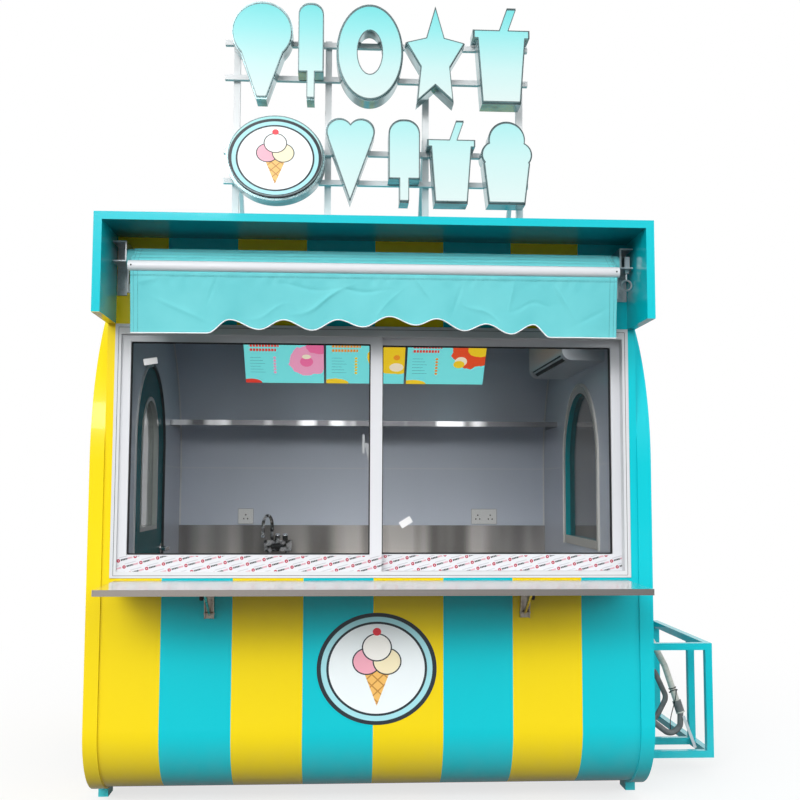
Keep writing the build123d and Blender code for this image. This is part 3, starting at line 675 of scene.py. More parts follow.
# Painted reflection: the pale and dark bands along the bench top stand in for what it mirrors.
mirrored_bands = (shop_steel.noise(0.15, detail=1, stretch=(1, 0.1, 0.05)) - 0.38) * 4
shop_steel.put(base_color=shop_steel.mix(mirrored_bands, (0.30, 0.28, 0.26), (0.95, 0.89, 0.84)),
               roughness=shop_steel.noise(0.2) * 0.2 + 0.12)
shelf_steel = Finish("dull_shelf_steel", (0.20, 0.20, 0.21), 0.42, 1.0)
# Painted reflection: the dark steel with pale glints stands in for the dim cabin and the few bright spots it
# mirrors.
glint = (shelf_steel.noise(0.13, detail=1, stretch=(1, 0.05, 0.05)) - 0.52) * 7
shelf_steel.put(base_color=shelf_steel.mix(glint, (0.17, 0.17, 0.18), (0.90, 0.90, 0.92)),
                roughness=shelf_steel.noise(0.3) * 0.3 + 0.25)
print("worn steels ready")

# %% Zinc, chrome, mirror sheet and the white bar
zinc = Finish("zinc_plate", (0.50, 0.51, 0.53), 0.38, 1.0)
spangle = zinc.noise(9 * mm, detail=2)
zinc.put(base_color=zinc.mix(spangle, (0.36, 0.37, 0.39), (0.62, 0.63, 0.65)),
         roughness=spangle * 0.25 + 0.24)
chrome = Finish("polished_chrome", (0.74, 0.74, 0.76), 0.07, 1.0)
chrome.put(roughness=chrome.noise(0.05) * 0.08 + 0.03)
tap_chrome = Finish("worn_tap_chrome", (0.86, 0.84, 0.82), 0.2, 0.8)
# Painted reflection: near-black and near-white patches stand in for what the chrome mirrors.
shine = (tap_chrome.noise(0.035, detail=1) - 0.45) * 6
tap_chrome.put(base_color=tap_chrome.mix(shine, (0.05, 0.045, 0.04), (1.0, 0.97, 0.94)),
               roughness=tap_chrome.noise(0.03) * 0.15 + 0.12)
mirror = Finish("mirror_returns", (0.30, 0.44, 0.46), 0.10, 1.0)
# Painted reflection: the dark patches stand in for what the polished returns mirror.
mirrored_patch = (mirror.noise(0.06, detail=1) - 0.48) * 2.4
mirror.put(base_color=mirror.mix(mirrored_patch, (0.32, 0.48, 0.50), (0.10, 0.13, 0.13)),
           roughness=mirror.noise(0.06) * 0.12 + 0.16)
bar_coat = Finish("bar_white_coat", (0.70, 0.71, 0.74), 0.30, coat_weight=0.3)
bar_coat.put(roughness=bar_coat.noise(0.03, stretch=(0.05, 1, 1)) * 0.16 + 0.22)
print("metals ready")

# %% [markdown]
# ## Plastics, tape and foam
# The cream pipe is wound with tape, each turn lapping the one before. The laps could be modelled as
# a long spiral, but they are under a millimetre high. A tilted height, cut into steps of one tape
# width, gives each turn its edge in a bump and a grimy line in the colour.

# %% Plastics, tape and deck
socket_plastic = Finish("socket_plastic", (0.86, 0.86, 0.84), 0.3)
socket_plastic.put(roughness=socket_plastic.noise(0.02) * 0.1 + 0.25)
white_plastic = Finish("white_plastic", (0.62, 0.65, 0.68), 0.35)
white_plastic.bump(white_plastic.noise(2 * mm), 0.03 * mm)
deck_board = Finish("deck_board", (0.20, 0.21, 0.22), 0.6)
deck_board.bump(deck_board.noise(10 * mm, detail=4), 0.4 * mm)
tape = Finish("wrapped_tape", (0.66, 0.65, 0.58), 0.5)
tape_slope, tape_width = math.radians(24), 26 * mm
turns = tape.axes((0, 0, 0), turn=(0, tape_slope, 0))[2] / tape_width % 1
grime = tape.noise(0.04, detail=5)
tape.put(base_color=tape.mix(grime * 0.5 + (turns < 0.1) * 0.3, (0.72, 0.71, 0.65), (0.36, 0.36, 0.31)))
tape.bump(turns, 0.8 * mm)
hose_foam = Finish("hose_foam", (0.16, 0.17, 0.17), 0.7)
hose_foam.put(base_color=hose_foam.mix(hose_foam.noise(0.03), (0.10, 0.105, 0.11), (0.25, 0.26, 0.26)))
hose_foam.bump(hose_foam.noise(4 * mm, detail=3), 0.5 * mm)
pale_coat = powder_coated("pale_support_coat", (0.78, 0.80, 0.81))
print("plastics ready")

# %% [markdown]
# ## Cloth
# The awning is a coated acrylic canvas, woven from coloured thread and stitched in straight lines.
# A pattern fixed in space would slide over the folds. Its own flat-cut coordinates, in metres, carry
# the weave and the stitching instead, so both follow the cloth wherever it bends.

# %% Awning canvas
def canvas(name, width, seams, hems=True):
    """Woven cloth: the weave is the product of a sine across and a sine along, and the stitches are
    dashed lines along the side hems and at the given lengths."""
    cloth = Finish(name, (0.12, 0.64, 0.655), 0.62, sheen_weight=0.15)
    u, v, _ = cloth.axes((0, 0, 0), source="UV")
    thread = 2 * math.pi / (0.9 * mm)
    weave = (u * thread).wave() * (v * thread).wave()
    cloud = cloth.noise(0.16, detail=4)
    shade = cloth.mix(cloud, (0.085, 0.50, 0.54), (0.16, 0.62, 0.65))
    edge = (abs(u - width / 2) - (width / 2 - 20 * mm)) if hems else u * 0
    side_stitch = (abs(abs(edge) - 8 * mm) < 0.9 * mm) & ((v % (5 * mm)) < 3.4 * mm)
    lines = side_stitch if hems else (u < -1)
    for seam in seams:
        lines = lines | ((abs(v - seam) < 0.9 * mm) & ((u % (5 * mm)) < 3.4 * mm))
    cloth.put(base_color=cloth.mix(lines * 0.75, shade, (0.02, 0.22, 0.25)))
    cloth.bump(weave * 0.06 + cloth.noise(0.05, detail=3) * 0.5 - lines * 0.6, 0.9 * mm)
    return cloth


piping_coat = Finish("white_piping", (0.86, 0.87, 0.88), 0.5)
piping_coat.bump(piping_coat.noise(1.5 * mm), 0.2 * mm)
print("cloth finishes ready")

# %% [markdown]
# ## Dressing the CAD
# The CAD pieces keep their meshes and get only a material each. One table says which finish goes on
# which pieces, so that a colour is changed in one place. The awning's roll and the sign's faces get
# theirs further on, where it is made, and new cloth stands in for the valance and the cover.

# %% Give the CAD nodes their finishes
finishes = {
    stripes: "front_wall back_wall roof_shell floor_slab front_fascia",
    hood_enamel: "hood_roof",
    teal_enamel: "right_end_ring right_cheek feet cage_base cage_top cage_posts",
    yellow_enamel: "left_end_ring",
    left_cheek: "left_cheek",
    yellow_wall: "left_wall_front left_wall_back left_wall_over_door",
    teal_wall: "right_end_wall",
    door_enamel: "door_frame_trim door_leaf",
    door_ring: "door_glazing_frame",
    side_ring: "side_window_frame",
    white_frame: "window_frame window_latch",
    film: "left_sash right_sash",
    pane_glass: "window_panes",
    door_glass: "door_glass",
    side_glass: "side_window_glass",
    counter_steel: "counter_top",
    shop_steel: "bench_top",
    shelf_steel: "wall_shelf",
    stainless: "bench_legs",
    mottled_steel: "counter_arms bracket_wall_legs left_brace right_brace",
    zinc: "awning_brackets winding_eye door_hinge_fixed door_hinge_moving",
    chrome: "door_handles",
    tap_chrome: "sink_tap",
    bar_coat: "awning_front_bar awning_arms",
    white_plastic: "air_unit_indoor menu_boards",
    socket_plastic: "wall_sockets",
    deck_board: "floor_deck",
    tape: "air_unit_pipes",
    hose_foam: "air_unit_hoses",
    mirror: "sign_cans",
    pale_coat: "sign_rails sign_posts sign_stays",
}
for finish, names in finishes.items():
    for name in names.split():
        dress(name, finish)
print(sum(len(names.split()) for names in finishes.values()), "nodes finished")

# %% [markdown]
# ## The valance
# A short skirt of canvas hangs from the front bar. Its ends are straight and the middle is cut in
# waves, edged with white piping. A cloth simulation could hang it, but so short a skirt, held along
# its whole top, barely moves, and a formula gives the same folds each time. The cloth is one grid:
# across by down. The lower edge follows the cut, and slow waves in depth, stronger towards the free
# edge, keep it from looking like a board.

# %% The valance's cut
bar_low, bar_high = (np.array(corner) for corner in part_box("awning_front_bar"))
skirt_low, skirt_high = (np.array(corner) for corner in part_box("awning_valance"))
bar_radius = (bar_high[2] - bar_low[2]) / 2
bar_y = (bar_high[1] + bar_low[1]) / 2
skirt_top = skirt_high[2]
cut_x = np.array([-960, -642, -558, -446, -354, -246, -146, -52, 50, 151, 232, 338, 423, 518, 605, 670, 960])
cut_z = np.array([0, 2, 55, 19, 56, 18, 59, 32, 73, 41, 66, 23, 50, 12, 49, 0, 0])


def lower_edge(x):
    """Height of the cut edge: a cosine ease from each measured high or low point to the next."""
    place = np.clip(np.searchsorted(cut_x, x) - 1, 0, len(cut_x) - 2)
    share = (x - cut_x[place]) / (cut_x[place + 1] - cut_x[place])
    ease = (1 - np.cos(np.pi * np.clip(share, 0, 1))) / 2
    return cut_z[place] + ease * (cut_z[place + 1] - cut_z[place])


across = np.linspace(-1, 1, 601)
down = np.linspace(0, 1, 41)
half_top = (skirt_high[0] - skirt_low[0]) / 2
cut = skirt_low[2] + lower_edge(across * half_top / mm) * mm


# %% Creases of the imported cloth
crease_x = np.array([-0.86, -0.74, -0.62, -0.41, -0.27, -0.20, -0.06, 0.05,
                     0.17, 0.31, 0.40, 0.52, 0.60, 0.71, 0.83])
crease_v = np.array([0.15, 0.62, 0.30, 0.75, 0.28, 0.52, 0.34, 0.62,
                     0.25, 0.45, 0.70, 0.30, 0.55, 0.33, 0.66])
crease_turn = np.radians([12, -24, 70, 20, -8, 33, -4, 55, -62, 75, -30, 80, 12, -58, 28])
crease_reach = np.array([70, 90, 60, 60, 90, 105, 80, 70, 60, 75, 70, 55, 80, 70, 60]) * mm
crease_depth = np.array([1.6, 2.4, -2.0, 1.8, -2.2, 4.2, -3.0, 2.0, 2.4, -2.4, 2.2, 3.0, -2.0, 2.6, -2.2])


def creases(x, z):
    """Sharp folds left by packing, summed:
    1.7 * depth * exp(-|distance across| / 8 mm) * exp(-(distance along / reach)^2)."""
    dx, dz = x[..., None] - crease_x, z[..., None] + crease_v * (skirt_top - skirt_low[2])
    along = dx * np.cos(crease_turn) + dz * np.sin(crease_turn)
    off = np.abs(dz * np.cos(crease_turn) - dx * np.sin(crease_turn))
    return (1.7 * crease_depth * np.exp(-off / (8 * mm)) * np.exp(-(along / crease_reach) ** 2)).sum(axis=-1)


print(len(crease_x), "creases")

# %% The valance's hang
def hang(u, v):
    """Depth of the cloth behind its plane, in metres: long folds that grow from nothing at the bar,
    packing creases, and puckers along the top seam."""
    x = u * half_top
    fold = 3.4 * np.sin(7.1 * x + 1.2) + 2.2 * np.sin(12.7 * x - 0.6) + 1.3 * np.sin(23 * x + v * 3)
    soft = 1.5 * np.sin(31 * x + 5 * v) * np.sin(4 * v + 9 * x)
    pucker = 1.8 * np.sin(83 * x + 2 * np.sin(17 * x)) * np.exp(-((v - 0.13) / 0.09) ** 2)
    free = np.clip(v / 0.06, 0, 1)
    packed = creases(x, -v * (skirt_top - skirt_low[2])) * free
    return ((fold + soft) * v ** 1.1 + packed + pucker * free) * mm


def thicken(cloth):
    """Gives a sheet the canvas's millimetre, half to each side."""
    thickness = cloth.modifiers.new("cloth_thickness", "SOLIDIFY")
    thickness.thickness = 1.0 * mm
    thickness.offset = 0


print("deepest fold at the free edge", float(np.abs(hang(across, 1.0)).max()))

# %% The valance
u, v = np.meshgrid(across, down)
height = skirt_top + (cut - skirt_top) * v
skirt = np.stack([middle[0] + u * half_top * (1 - 0.008 * v),
                  (skirt_low[1] + skirt_high[1]) / 2 - hang(u, v), height], axis=-1)
print("cloth depth", np.ptp(skirt[..., 1]), "room before and behind it",
      skirt[..., 1].min() - skirt_low[1], skirt_high[1] - skirt[..., 1].max())
skirt_uv = np.stack([(u + 1) * half_top, skirt_top - height], axis=-1).reshape(-1, 2)
skirt_cloth = canvas("valance_canvas", 2 * half_top, seams=(15 * mm, 19 * mm))
valance = piece("valance_cloth", [(skirt.reshape(-1, 3), grid_quads(len(down), len(across)))], skirt_cloth,
                uv=skirt_uv, closed=False, sharp=180)
thicken(valance)
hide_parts("awning_valance")

# %% White piping on the cut edge
hem = skirt[-1]
cord = circle(2.4 * mm, 8)
piping = piece("valance_piping", [carried(hem, cord, to_street)], piping_coat)

# %% [markdown]
# ## The cover
# Above the bar the rolled cloth runs back over its roll. It leaves the bar low at the front, climbs
# with three soft tucks, and wraps the roll's top, so it is a profile in the side view, carried
# across with a little sag.

# %% The cover over the roll
roll_low, roll_high = (np.array(corner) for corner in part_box("awning_roll"))
roll_radius = (roll_high[2] - roll_low[2]) / 2 + 1.2 * mm
roll_y, roll_z = (roll_low[1] + roll_high[1]) / 2, (roll_low[2] + roll_high[2]) / 2
bar_z = (bar_low[2] + bar_high[2]) / 2
wrap = np.linspace(np.radians(118), np.radians(20), 16)
arc_y, arc_z = roll_y + roll_radius * np.cos(wrap), roll_z + roll_radius * np.sin(wrap)
start_y, start_z = bar_y + 2 * mm, bar_z + bar_radius + 1 * mm
climb = np.linspace(0, 1, 46)[:-1]
tuck = 5.0 * np.abs(np.sin(3.5 * np.pi * climb)) ** 0.7 * mm
climb_y = start_y + (arc_y[0] - start_y) * climb - tuck * 0.8
climb_z = start_z + (arc_z[0] - start_z) * climb + tuck * 0.5
profile_y, profile_z = np.append(climb_y, arc_y), np.append(climb_z, arc_z)
run = np.append(0, np.cumsum(np.hypot(np.diff(profile_y), np.diff(profile_z))))
columns = 201
u, k = np.meshgrid(np.linspace(-1, 1, columns), np.arange(len(run)))
ripple = 0.9 * mm * np.sin(9 * u + k * 0.11) * np.sin(np.pi * np.clip(k / 45, 0, 1))
cover_half = half_top
cover = np.stack([middle[0] + u * cover_half, profile_y[k] - ripple, profile_z[k] + ripple], axis=-1)
cover_uv = np.stack([(u + 1) * cover_half, run[k]], axis=-1).reshape(-1, 2)
cover_cloth = canvas("cover_canvas", 2 * cover_half, seams=())
awning_cover = piece("cover_cloth", [(cover.reshape(-1, 3), grid_quads(len(run), columns))], cover_cloth,
                     uv=cover_uv, closed=False, sharp=180)
thicken(awning_cover)
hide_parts("awning_cover")
dress("awning_roll", canvas("roll_canvas", 2.0, seams=(), hems=False))

# %% [markdown]
# ## Glazing details
# Every pane sits in a black rubber gasket that seals it and takes up its play. Cutting a groove into
# the sash would change its CAD solid, so the gasket is a thin strip laid over the joint: an oblong
# outline that is carried once round the pane's edge, inside and outside. The outer frame's shadow
# groove is made in the same way, as a hair-thin dark strip.

# %% Gaskets round the panes
stile, meeting, rail, top_rail = 36 * mm, 47 * mm, 64 * mm, 28 * mm
left_low, left_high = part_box("left_sash")
right_low, right_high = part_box("right_sash")
gasket = oblong(6 * mm, 5 * mm)
loops = []
inset, depth_in_sash = 2 * mm, 11 * mm
sashes = [(left_low, left_high, stile, meeting), (right_low, right_high, meeting, stile)]
for low, high, left_bar, right_bar in sashes:
    pane = (low.x + left_bar, high.x - right_bar, low.z + rail, high.z - top_rail)
    for y in (low.y + depth_in_sash, high.y - depth_in_sash):
        loop = window_loop(pane[0] + inset, pane[1] - inset, pane[2] + inset, pane[3] - inset, y)
        loops.append(carried(loop, gasket, to_street, path_meets=True))
piece("window_gaskets", loops, rubber)

# %% Grooves in the outer frame
frame_low, frame_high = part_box("window_frame")
groove = oblong(1.6 * mm, 1.0 * mm)
ring = window_loop(frame_low.x + 13 * mm, frame_high.x - 13 * mm, frame_low.z + 9 * mm,
                   frame_high.z - 13 * mm, frame_low.y + 0.1 * mm, corner=1 * mm)
# The dark strip is painted shade in the groove.
piece("frame_grooves", [carried(ring, groove, to_street, path_meets=True)], black_gap)

# %% [markdown]
# ## Fixings
# Small bolts hold the awning's brackets, and the counter's brackets turn on pins with flat heads.
# They are too small for the CAD, but their glints tell the eye how large the kiosk is. A screw's
# thread is never seen, so only its head is made. A head is a lathe profile, turned round its own
# axis: a washer, a domed head and a socket in it.

# %% Bolts
def bolt(centre, radius, along=to_street):
    """A button-head bolt on a washer, as one turned profile that dips into its socket."""
    r = radius
    washer = [(0, 0), (1.5 * r, 0), (1.5 * r, 0.22 * r), (r, 0.22 * r)]
    dome = [(0.96 * r, 0.6 * r), (0.7 * r, 0.85 * r), (0.42 * r, 0.9 * r)]
    profile = washer + dome + [(0.38 * r, 0.55 * r), (0, 0.5 * r)]
    return turned(profile, centre, along, 16)


hold_low, hold_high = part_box("awning_brackets")
bolts = []
for side in (-1, 1):
    x = middle[0] + side * (hold_high.x - middle[0] - 23 * mm)
    for drop in (30 * mm, 92 * mm):
        bolts.append(bolt((x, hold_high.y - 5 * mm, hold_low.z + drop), 5 * mm))
piece("awning_bolts", bolts, zinc)
print("bolts", len(bolts))

# %% Pins of the folding brackets
leg_half = 18.5 * mm
pins = []
for name in ("left_brace", "right_brace"):
    low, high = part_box(name)
    leg_low, leg_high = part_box("bracket_wall_legs")
    x = (low.x + high.x) / 2
    for y, z in ((leg_high.y - 36 * mm, leg_high.z - 8 * mm), (leg_high.y - 14 * mm, leg_low.z + 20 * mm)):
        for side in (-1, 1):
            pins.append(turned([(0, 0), (6 * mm, 0), (6 * mm, 1.5 * mm), (4 * mm, 2.6 * mm), (0, 2.8 * mm)],
                               (x + side * leg_half, y, z), (side, 0, 0), 14))
piece("bracket_pin_heads", pins, zinc)

# %% Black release knobs on the brackets
knob_profile = np.array([(0, 0), (8, 0), (8, 4), (12, 5), (13, 8), (13, 15), (11, 18), (0, 18.5)]) * mm
knobs = []
for name, side in (("left_brace", -1), ("right_brace", 1)):
    low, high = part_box(name)
    x = (low.x + high.x) / 2 + side * leg_half
    knobs.append(turned(knob_profile, (x, leg_high.y - 24 * mm, leg_high.z - 58 * mm), (side, 0, 0), 10))
piece("bracket_knobs", knobs, rubber)
print(len(pins), "pin heads,", len(knobs), "knobs")

# %% [markdown]
# ## At the pipes
# The pipes in the cage are bound by a black tie with a loose tail, and a band of tape closes the
# joint of the wrapped pipe. Both are round wires bent into rings, so a circle is carried round a
# circle. The tail is a Bezier curve: four points, of which it meets the first and the last, pull the
# path into one soft bend. A flat white strip, carried along three points, covers the cable.

# %% Tie, joint band and cable cover at the pipes
def ring(centre, along, radius, wire, steps=20):
    """A wire ring: a circle of the radius in the plane square to the axis, with a round wire."""
    along = np.array(along, float) / np.linalg.norm(along)
    side = np.cross(along, (0, 1, 0))
    side /= np.linalg.norm(side)
    turn = np.linspace(0, 2 * np.pi, steps, endpoint=False)[:, None]
    path = np.array(centre) + radius * (np.cos(turn) * side + np.sin(turn) * np.cross(along, side))
    return carried(path, circle(wire, 6), along, path_meets=True)


corner = np.array((middle[0], middle[1], 0))
pipe_end, mouth = corner + np.array((1383, -378, 300)) * mm, corner + np.array((1398, -384, 250)) * mm
pipe_run = np.array((45, -18, -150))
tie_centre = pipe_end - pipe_run * 0.36 * mm
share = np.linspace(0, 1, 24)[:, None]
tail_ends = np.array([(14, -16, -6), (10, -24, -60), (-28, -26, -120), (-18, -24, -176)]) * mm
tail = (tie_centre + tail_ends[0] * (1 - share) ** 3 + tail_ends[1] * 3 * share * (1 - share) ** 2
        + tail_ends[2] * 3 * share ** 2 * (1 - share) + tail_ends[3] * share ** 3)
piece("pipe_tie", [ring(tie_centre, pipe_run, 16 * mm, 2.2 * mm),
                   ring(tie_centre + pipe_run * 0.09 * mm, (45, -70, -150), 19 * mm, 2 * mm),
                   carried(tail, circle(2 * mm, 6), to_street)], rubber)
band = ring(mouth, (15, -6, -50), 17 * mm, 4 * mm)
cover_path = mouth + np.array([(8, -18, -14), (30, -30, -80), (52, -40, -148)]) * mm
piece("joint_band", [band], tape)
piece("cable_cover", [carried(cover_path, oblong(13 * mm, 3 * mm), to_street)], white_plastic)

# %% Screws at the ends of the front bar
screws = []
for side in (-1, 1):
    x = (bar_low[0] + bar_high[0]) / 2 + side * ((bar_high[0] - bar_low[0]) / 2 - 13 * mm)
    screws.append(turned([(0, 0), (3.4 * mm, 0), (3 * mm, 0.9 * mm), (0, 1.1 * mm)],
                         (x, bar_low[1] + 0.1 * mm, bar_z), to_street, 12))
piece("bar_screws", screws, black_gap)

# %% [markdown]
# ## Inside the cabin
# Pale beads cover the joints where the end walls meet the back wall and the curved roof. An arched
# trim runs round the door and the side window, and the sockets, the tap and the air unit get the
# small dark holes that make them read. The beads follow the roof's own arc. The trims must follow an
# arch that the CAD already has, so they aren't drawn again: the outline of its flat face is found,
# as the edges that only one face looking that way uses, and a strip is laid on each of them.

# %% Corner beads of the liner
bench_low, bench_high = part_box("bench_top")
inner_back = bench_high.y - middle[1]
liner_arc, arc_spring = 822 * mm, 1358 * mm
sweep_up = np.linspace(0, np.radians(112), 40)
bead_y = np.append([inner_back] * 2, inner_back - liner_arc + liner_arc * np.cos(sweep_up)) - 2 * mm
bead_z = np.append([bench_high.z + 3 * mm, arc_spring - 20 * mm],
                   arc_spring + liner_arc * np.sin(sweep_up) * 0.997)
beads = []
for x in (bench_low.x + 3 * mm, bench_high.x - 3 * mm):
    path = np.stack([np.full_like(bead_y, x), bead_y + middle[1], bead_z], axis=-1)
    beads.append(carried(path, oblong(5 * mm, 10 * mm), (1, 0, 0)))
bead_coat = powder_coated("pale_bead_coat", (0.74, 0.75, 0.75))
piece("liner_beads", beads, bead_coat)


# %% Arched trims
def arch_edges(name, facing, outer, shift=0):
    """Edges of an arched frame: the outer ones lie half its width from the arch's centre."""
    low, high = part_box(name)
    half = (high.y - low.y) / 2
    pairs = outline_of(name, facing)
    spot = pairs.mean(axis=1) - (0, (low.y + high.y) / 2, high.z - half)
    far = np.hypot(spot[:, 1], np.maximum(spot[:, 2], 0)) > half - 15 * mm
    chosen_edges = far if outer else ~far & (pairs.mean(axis=1)[:, 2] > low.z + 2 * mm)
    return pairs[chosen_edges] + (shift, 0, 0)


trim_coat = powder_coated("grey_trim_coat", (0.86, 0.88, 0.88))
door_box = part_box("door_frame_trim")
# Painted shade: the half of the trim beyond the doorway's middle, its reveal in shadow, is near black.
shaded_far_side = trim_coat.axes((0, (door_box[0].y + door_box[1].y) / 2, 0))[1] > 0
trim_coat.put(base_color=trim_coat.mix(shaded_far_side, (0.70, 0.72, 0.72), (0.004, 0.012, 0.014)))
cream_coat = powder_coated("cream_trim_coat", (0.80, 0.79, 0.74))
wall_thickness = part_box("left_wall_front")[1].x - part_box("left_wall_front")[0].x
doorway = arch_edges("door_frame_trim", (1, 0, 0), False, wall_thickness)
piece("door_inner_trim", [edged(doorway, (1, 0, 0), 12 * mm, 13 * mm)], trim_coat)
to_left = (-1, 0, 0)
seal_edges = arch_edges("door_frame_trim", to_left, False)
piece("door_outer_seal", [edged(seal_edges, to_left, 5 * mm, 3 * mm)], rubber)
window_edges = arch_edges("side_window_frame", to_left, True)
piece("side_window_trim", [edged(window_edges, to_left, 13 * mm, 9 * mm)], cream_coat)
print(len(doorway), "doorway edges")

# %% Socket holes and switches
socket_low, socket_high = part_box("wall_sockets")
socket_z = (socket_low.z + socket_high.z) / 2
single, double = socket_low.x + 43 * mm, socket_high.x - 73 * mm
pins = [(x + dx * mm, socket_z + dz * mm) for x in (single, double - 36 * mm, double + 36 * mm)
        for dx, dz in ((0, 8), (-11, -14), (11, -14))]
hole_profile = [(0, 0), (4.2 * mm, 0), (4.2 * mm, 0.6 * mm), (0, 0.6 * mm)]
holes = [turned(hole_profile, (x, socket_low.y + 0.2 * mm, z), to_street, 12) for x, z in pins]
# The near-black discs are painted shade in the pin holes.
piece("socket_holes", holes, black_gap)
rockers = [moulded((x - 5 * mm, socket_low.y - 3 * mm, socket_z + 10 * mm),
                   (x + 5 * mm, socket_low.y + 1 * mm, socket_z + 26 * mm), 1 * mm)
           for x in (double - 9 * mm, double + 9 * mm)]
piece("socket_rockers", rockers, socket_plastic)
# The thin dark line round each plate is painted shadow in the gap where it meets the wall.
piece("socket_joints", [edged(outline_of("wall_sockets", to_street), to_street, 1.6 * mm, 1 * mm)],
      trim_shadow)

# %% Outlet of the air unit
air_low, air_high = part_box("air_unit_indoor")
outlet = np.array([(air_low.x + 20.4 * mm, y, air_low.z + 20.4 * mm)
                   for y in (air_low.y + 58 * mm, (air_low.y + air_high.y) / 2, air_high.y - 58 * mm)])
slot_outline = oblong(34 * mm, 1.5 * mm)
# The dark slot is painted shade in the outlet's opening.
piece("air_outlet", [carried(outlet, slot_outline, (-0.7, 0, -0.7))], black_gap)
flap = outlet + np.array((-6 * mm, 0, 5 * mm))
piece("air_flap", [carried(flap, oblong(14 * mm, 2 * mm), (-0.95, 0, -0.3))], white_plastic)

# %% Tap details
tap_low, tap_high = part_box("sink_tap")
tap_x, tap_front = tap_high.x - 78 * mm, bench_high.y - 99 * mm
label_z = tap_low.z + 72 * mm
# The dark slot on the tap's front is painted shade.
piece("tap_slot", [moulded((tap_x - 34 * mm, tap_front - 1 * mm, label_z - 8 * mm),
                           (tap_x + 34 * mm, tap_front + 1 * mm, label_z + 8 * mm), 0.9 * mm)],
      black_gap)
dome_profile = np.array([(15, -3), (17, 0), (16, 5), (11, 10), (5, 12), (0, 12.5)]) * mm
domes = [turned(dome_profile, (x, tap_front + 24 * mm, tap_low.z + 129 * mm), (0, 0, 1), 20)
         for x in (tap_x - 4 * mm, tap_x + 38 * mm)]
nozzle = turned([(6 * mm, 0), (11 * mm, 0), (12 * mm, 6 * mm), (11 * mm, 14 * mm), (8 * mm, 16 * mm)],
                (tap_low.x + 9 * mm, tap_low.y + 9 * mm, tap_low.z + 121 * mm), (0, 0, 1), 18)
piece("tap_details", domes + [nozzle], chrome)

# %% [markdown]
# ## Paper labels
# Two blank paper labels were left on the new glass. Each is one flat quad, tilted by a small turn, and
# sits half a millimetre before the pane so that the two surfaces never fight for the same depth.

# %% Paper labels left on the glass
def label(x, z, y, width, height, turn):
    """A small tilted rectangle on the pane: corner = centre + a * along + b * up."""
    a, b = np.meshgrid([-0.5, 0.5], [-0.5, 0.5])
    along, up = a * width, b * height
    points = np.stack([x + along * math.cos(turn) - up * math.sin(turn), np.full_like(a, y),
                       z + along * math.sin(turn) + up * math.cos(turn)], axis=-1)
    return points.reshape(-1, 3), grid_quads(2, 2)


pane_low, pane_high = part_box("window_panes")
pane_t = 5 * mm
paper = powder_coated("paper_label", (0.80, 0.80, 0.80))
piece("pane_labels", [
    label(middle[0] - 880 * mm, 1741 * mm, pane_low.y - 0.5 * mm, 54 * mm, 25 * mm, 0.16),
    label(middle[0] + 128 * mm, 1113 * mm, pane_high.y - pane_t - 0.5 * mm, 50 * mm, 27 * mm, 0.55)],
    paper, closed=False)

# %% [markdown]
# ## Printed boards and badges
# Three price boards hang under the roof, and a round badge sits on the front and one in the sign.
# They carry plain generic shapes: blobs for dishes, dashes for words, dots for prices. Each print is
# a thin sheet with its own flat coordinates, and its finish lays one mask over the next, as a screen
# printer lays one ink over another. Words as mesh would be far heavier than what can be read of them.

# %% Blobs and dashes
def blob(finish, u, v, centre, radius, stretch=1.0, wobble=0.0):
    """1 inside an oval about the centre, whose edge may wander with a noise."""
    a, b = (u - centre[0]) / stretch, v - centre[1]
    reach = radius
    if wobble:
        reach = finish.noise(0.05, source="UV") * wobble + (radius - wobble / 2)
    return ((a * a + b * b) ** 0.5) < reach


def dashes(u, v, left, right, low, high, pitch, share=0.7):
    """1 on a row of short blocks between two edges."""
    return u.between(left, right) & v.between(low, high) & ((u % pitch) < pitch * share)


print("blobs and dashes ready")

# %% Menu board prints
def menu_print(name, heading, blobs, dots):
    """Aqua sheet with a blocky heading, thin price lines, dots and coloured blobs."""
    sheet = Finish(name, (0.22, 0.80, 0.80), 0.35)
    u, v, _ = sheet.axes((0, 0, 0), source="UV")
    color = (0.20, 0.80, 0.80)
    for shape_color, centre, radius, stretch, wobble in blobs:
        color = sheet.mix(blob(sheet, u, v, centre, radius, stretch, wobble), color, shape_color)
    for row in range(2):
        top = 0.275 - row * 0.03
        word = dashes(u, v, 0.028, 0.19 - row * 0.015, top - 0.018, top, 0.0165, 0.78)
        color = sheet.mix(word, color, heading)
    for row in range(6):
        top = 0.185 - row * 0.021
        line = dashes(u, v, 0.03, 0.09 + 0.012 * (row % 3), top - 0.004, top, 0.006, 0.8)
        color = sheet.mix(line * 0.7, color, (0.05, 0.22, 0.25))
        price = blob(sheet, u, v, (0.165, top - 0.003), 0.008)
        color = sheet.mix(price, color, dots)
    # The print also gives off a faint light in its own colours, though no lamp stands behind it: painted
    # light.
    sheet.put(base_color=color, emission_color=color, emission_strength=0.85)
    return sheet


print("menu print ready")

# %% How the boards lean
board_low, board_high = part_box("menu_boards")
board_width, board_height, board_thick = 435 * mm, 297 * mm, 6 * mm
tilts = np.radians(np.linspace(0, 89, 900))
deep = board_height * np.sin(tilts) + board_thick * np.cos(tilts)
tilt = tilts[np.argmin(abs(deep - (board_high.y - board_low.y)))]
rise = np.array([0, -np.sin(tilt), np.cos(tilt)])
face = np.array([0, -np.cos(tilt), -np.sin(tilt)])
foot = np.array([0, board_high.y - board_thick * np.cos(tilt), board_low.z]) + face * 0.6 * mm
print("boards lean", math.degrees(tilt), "degrees")

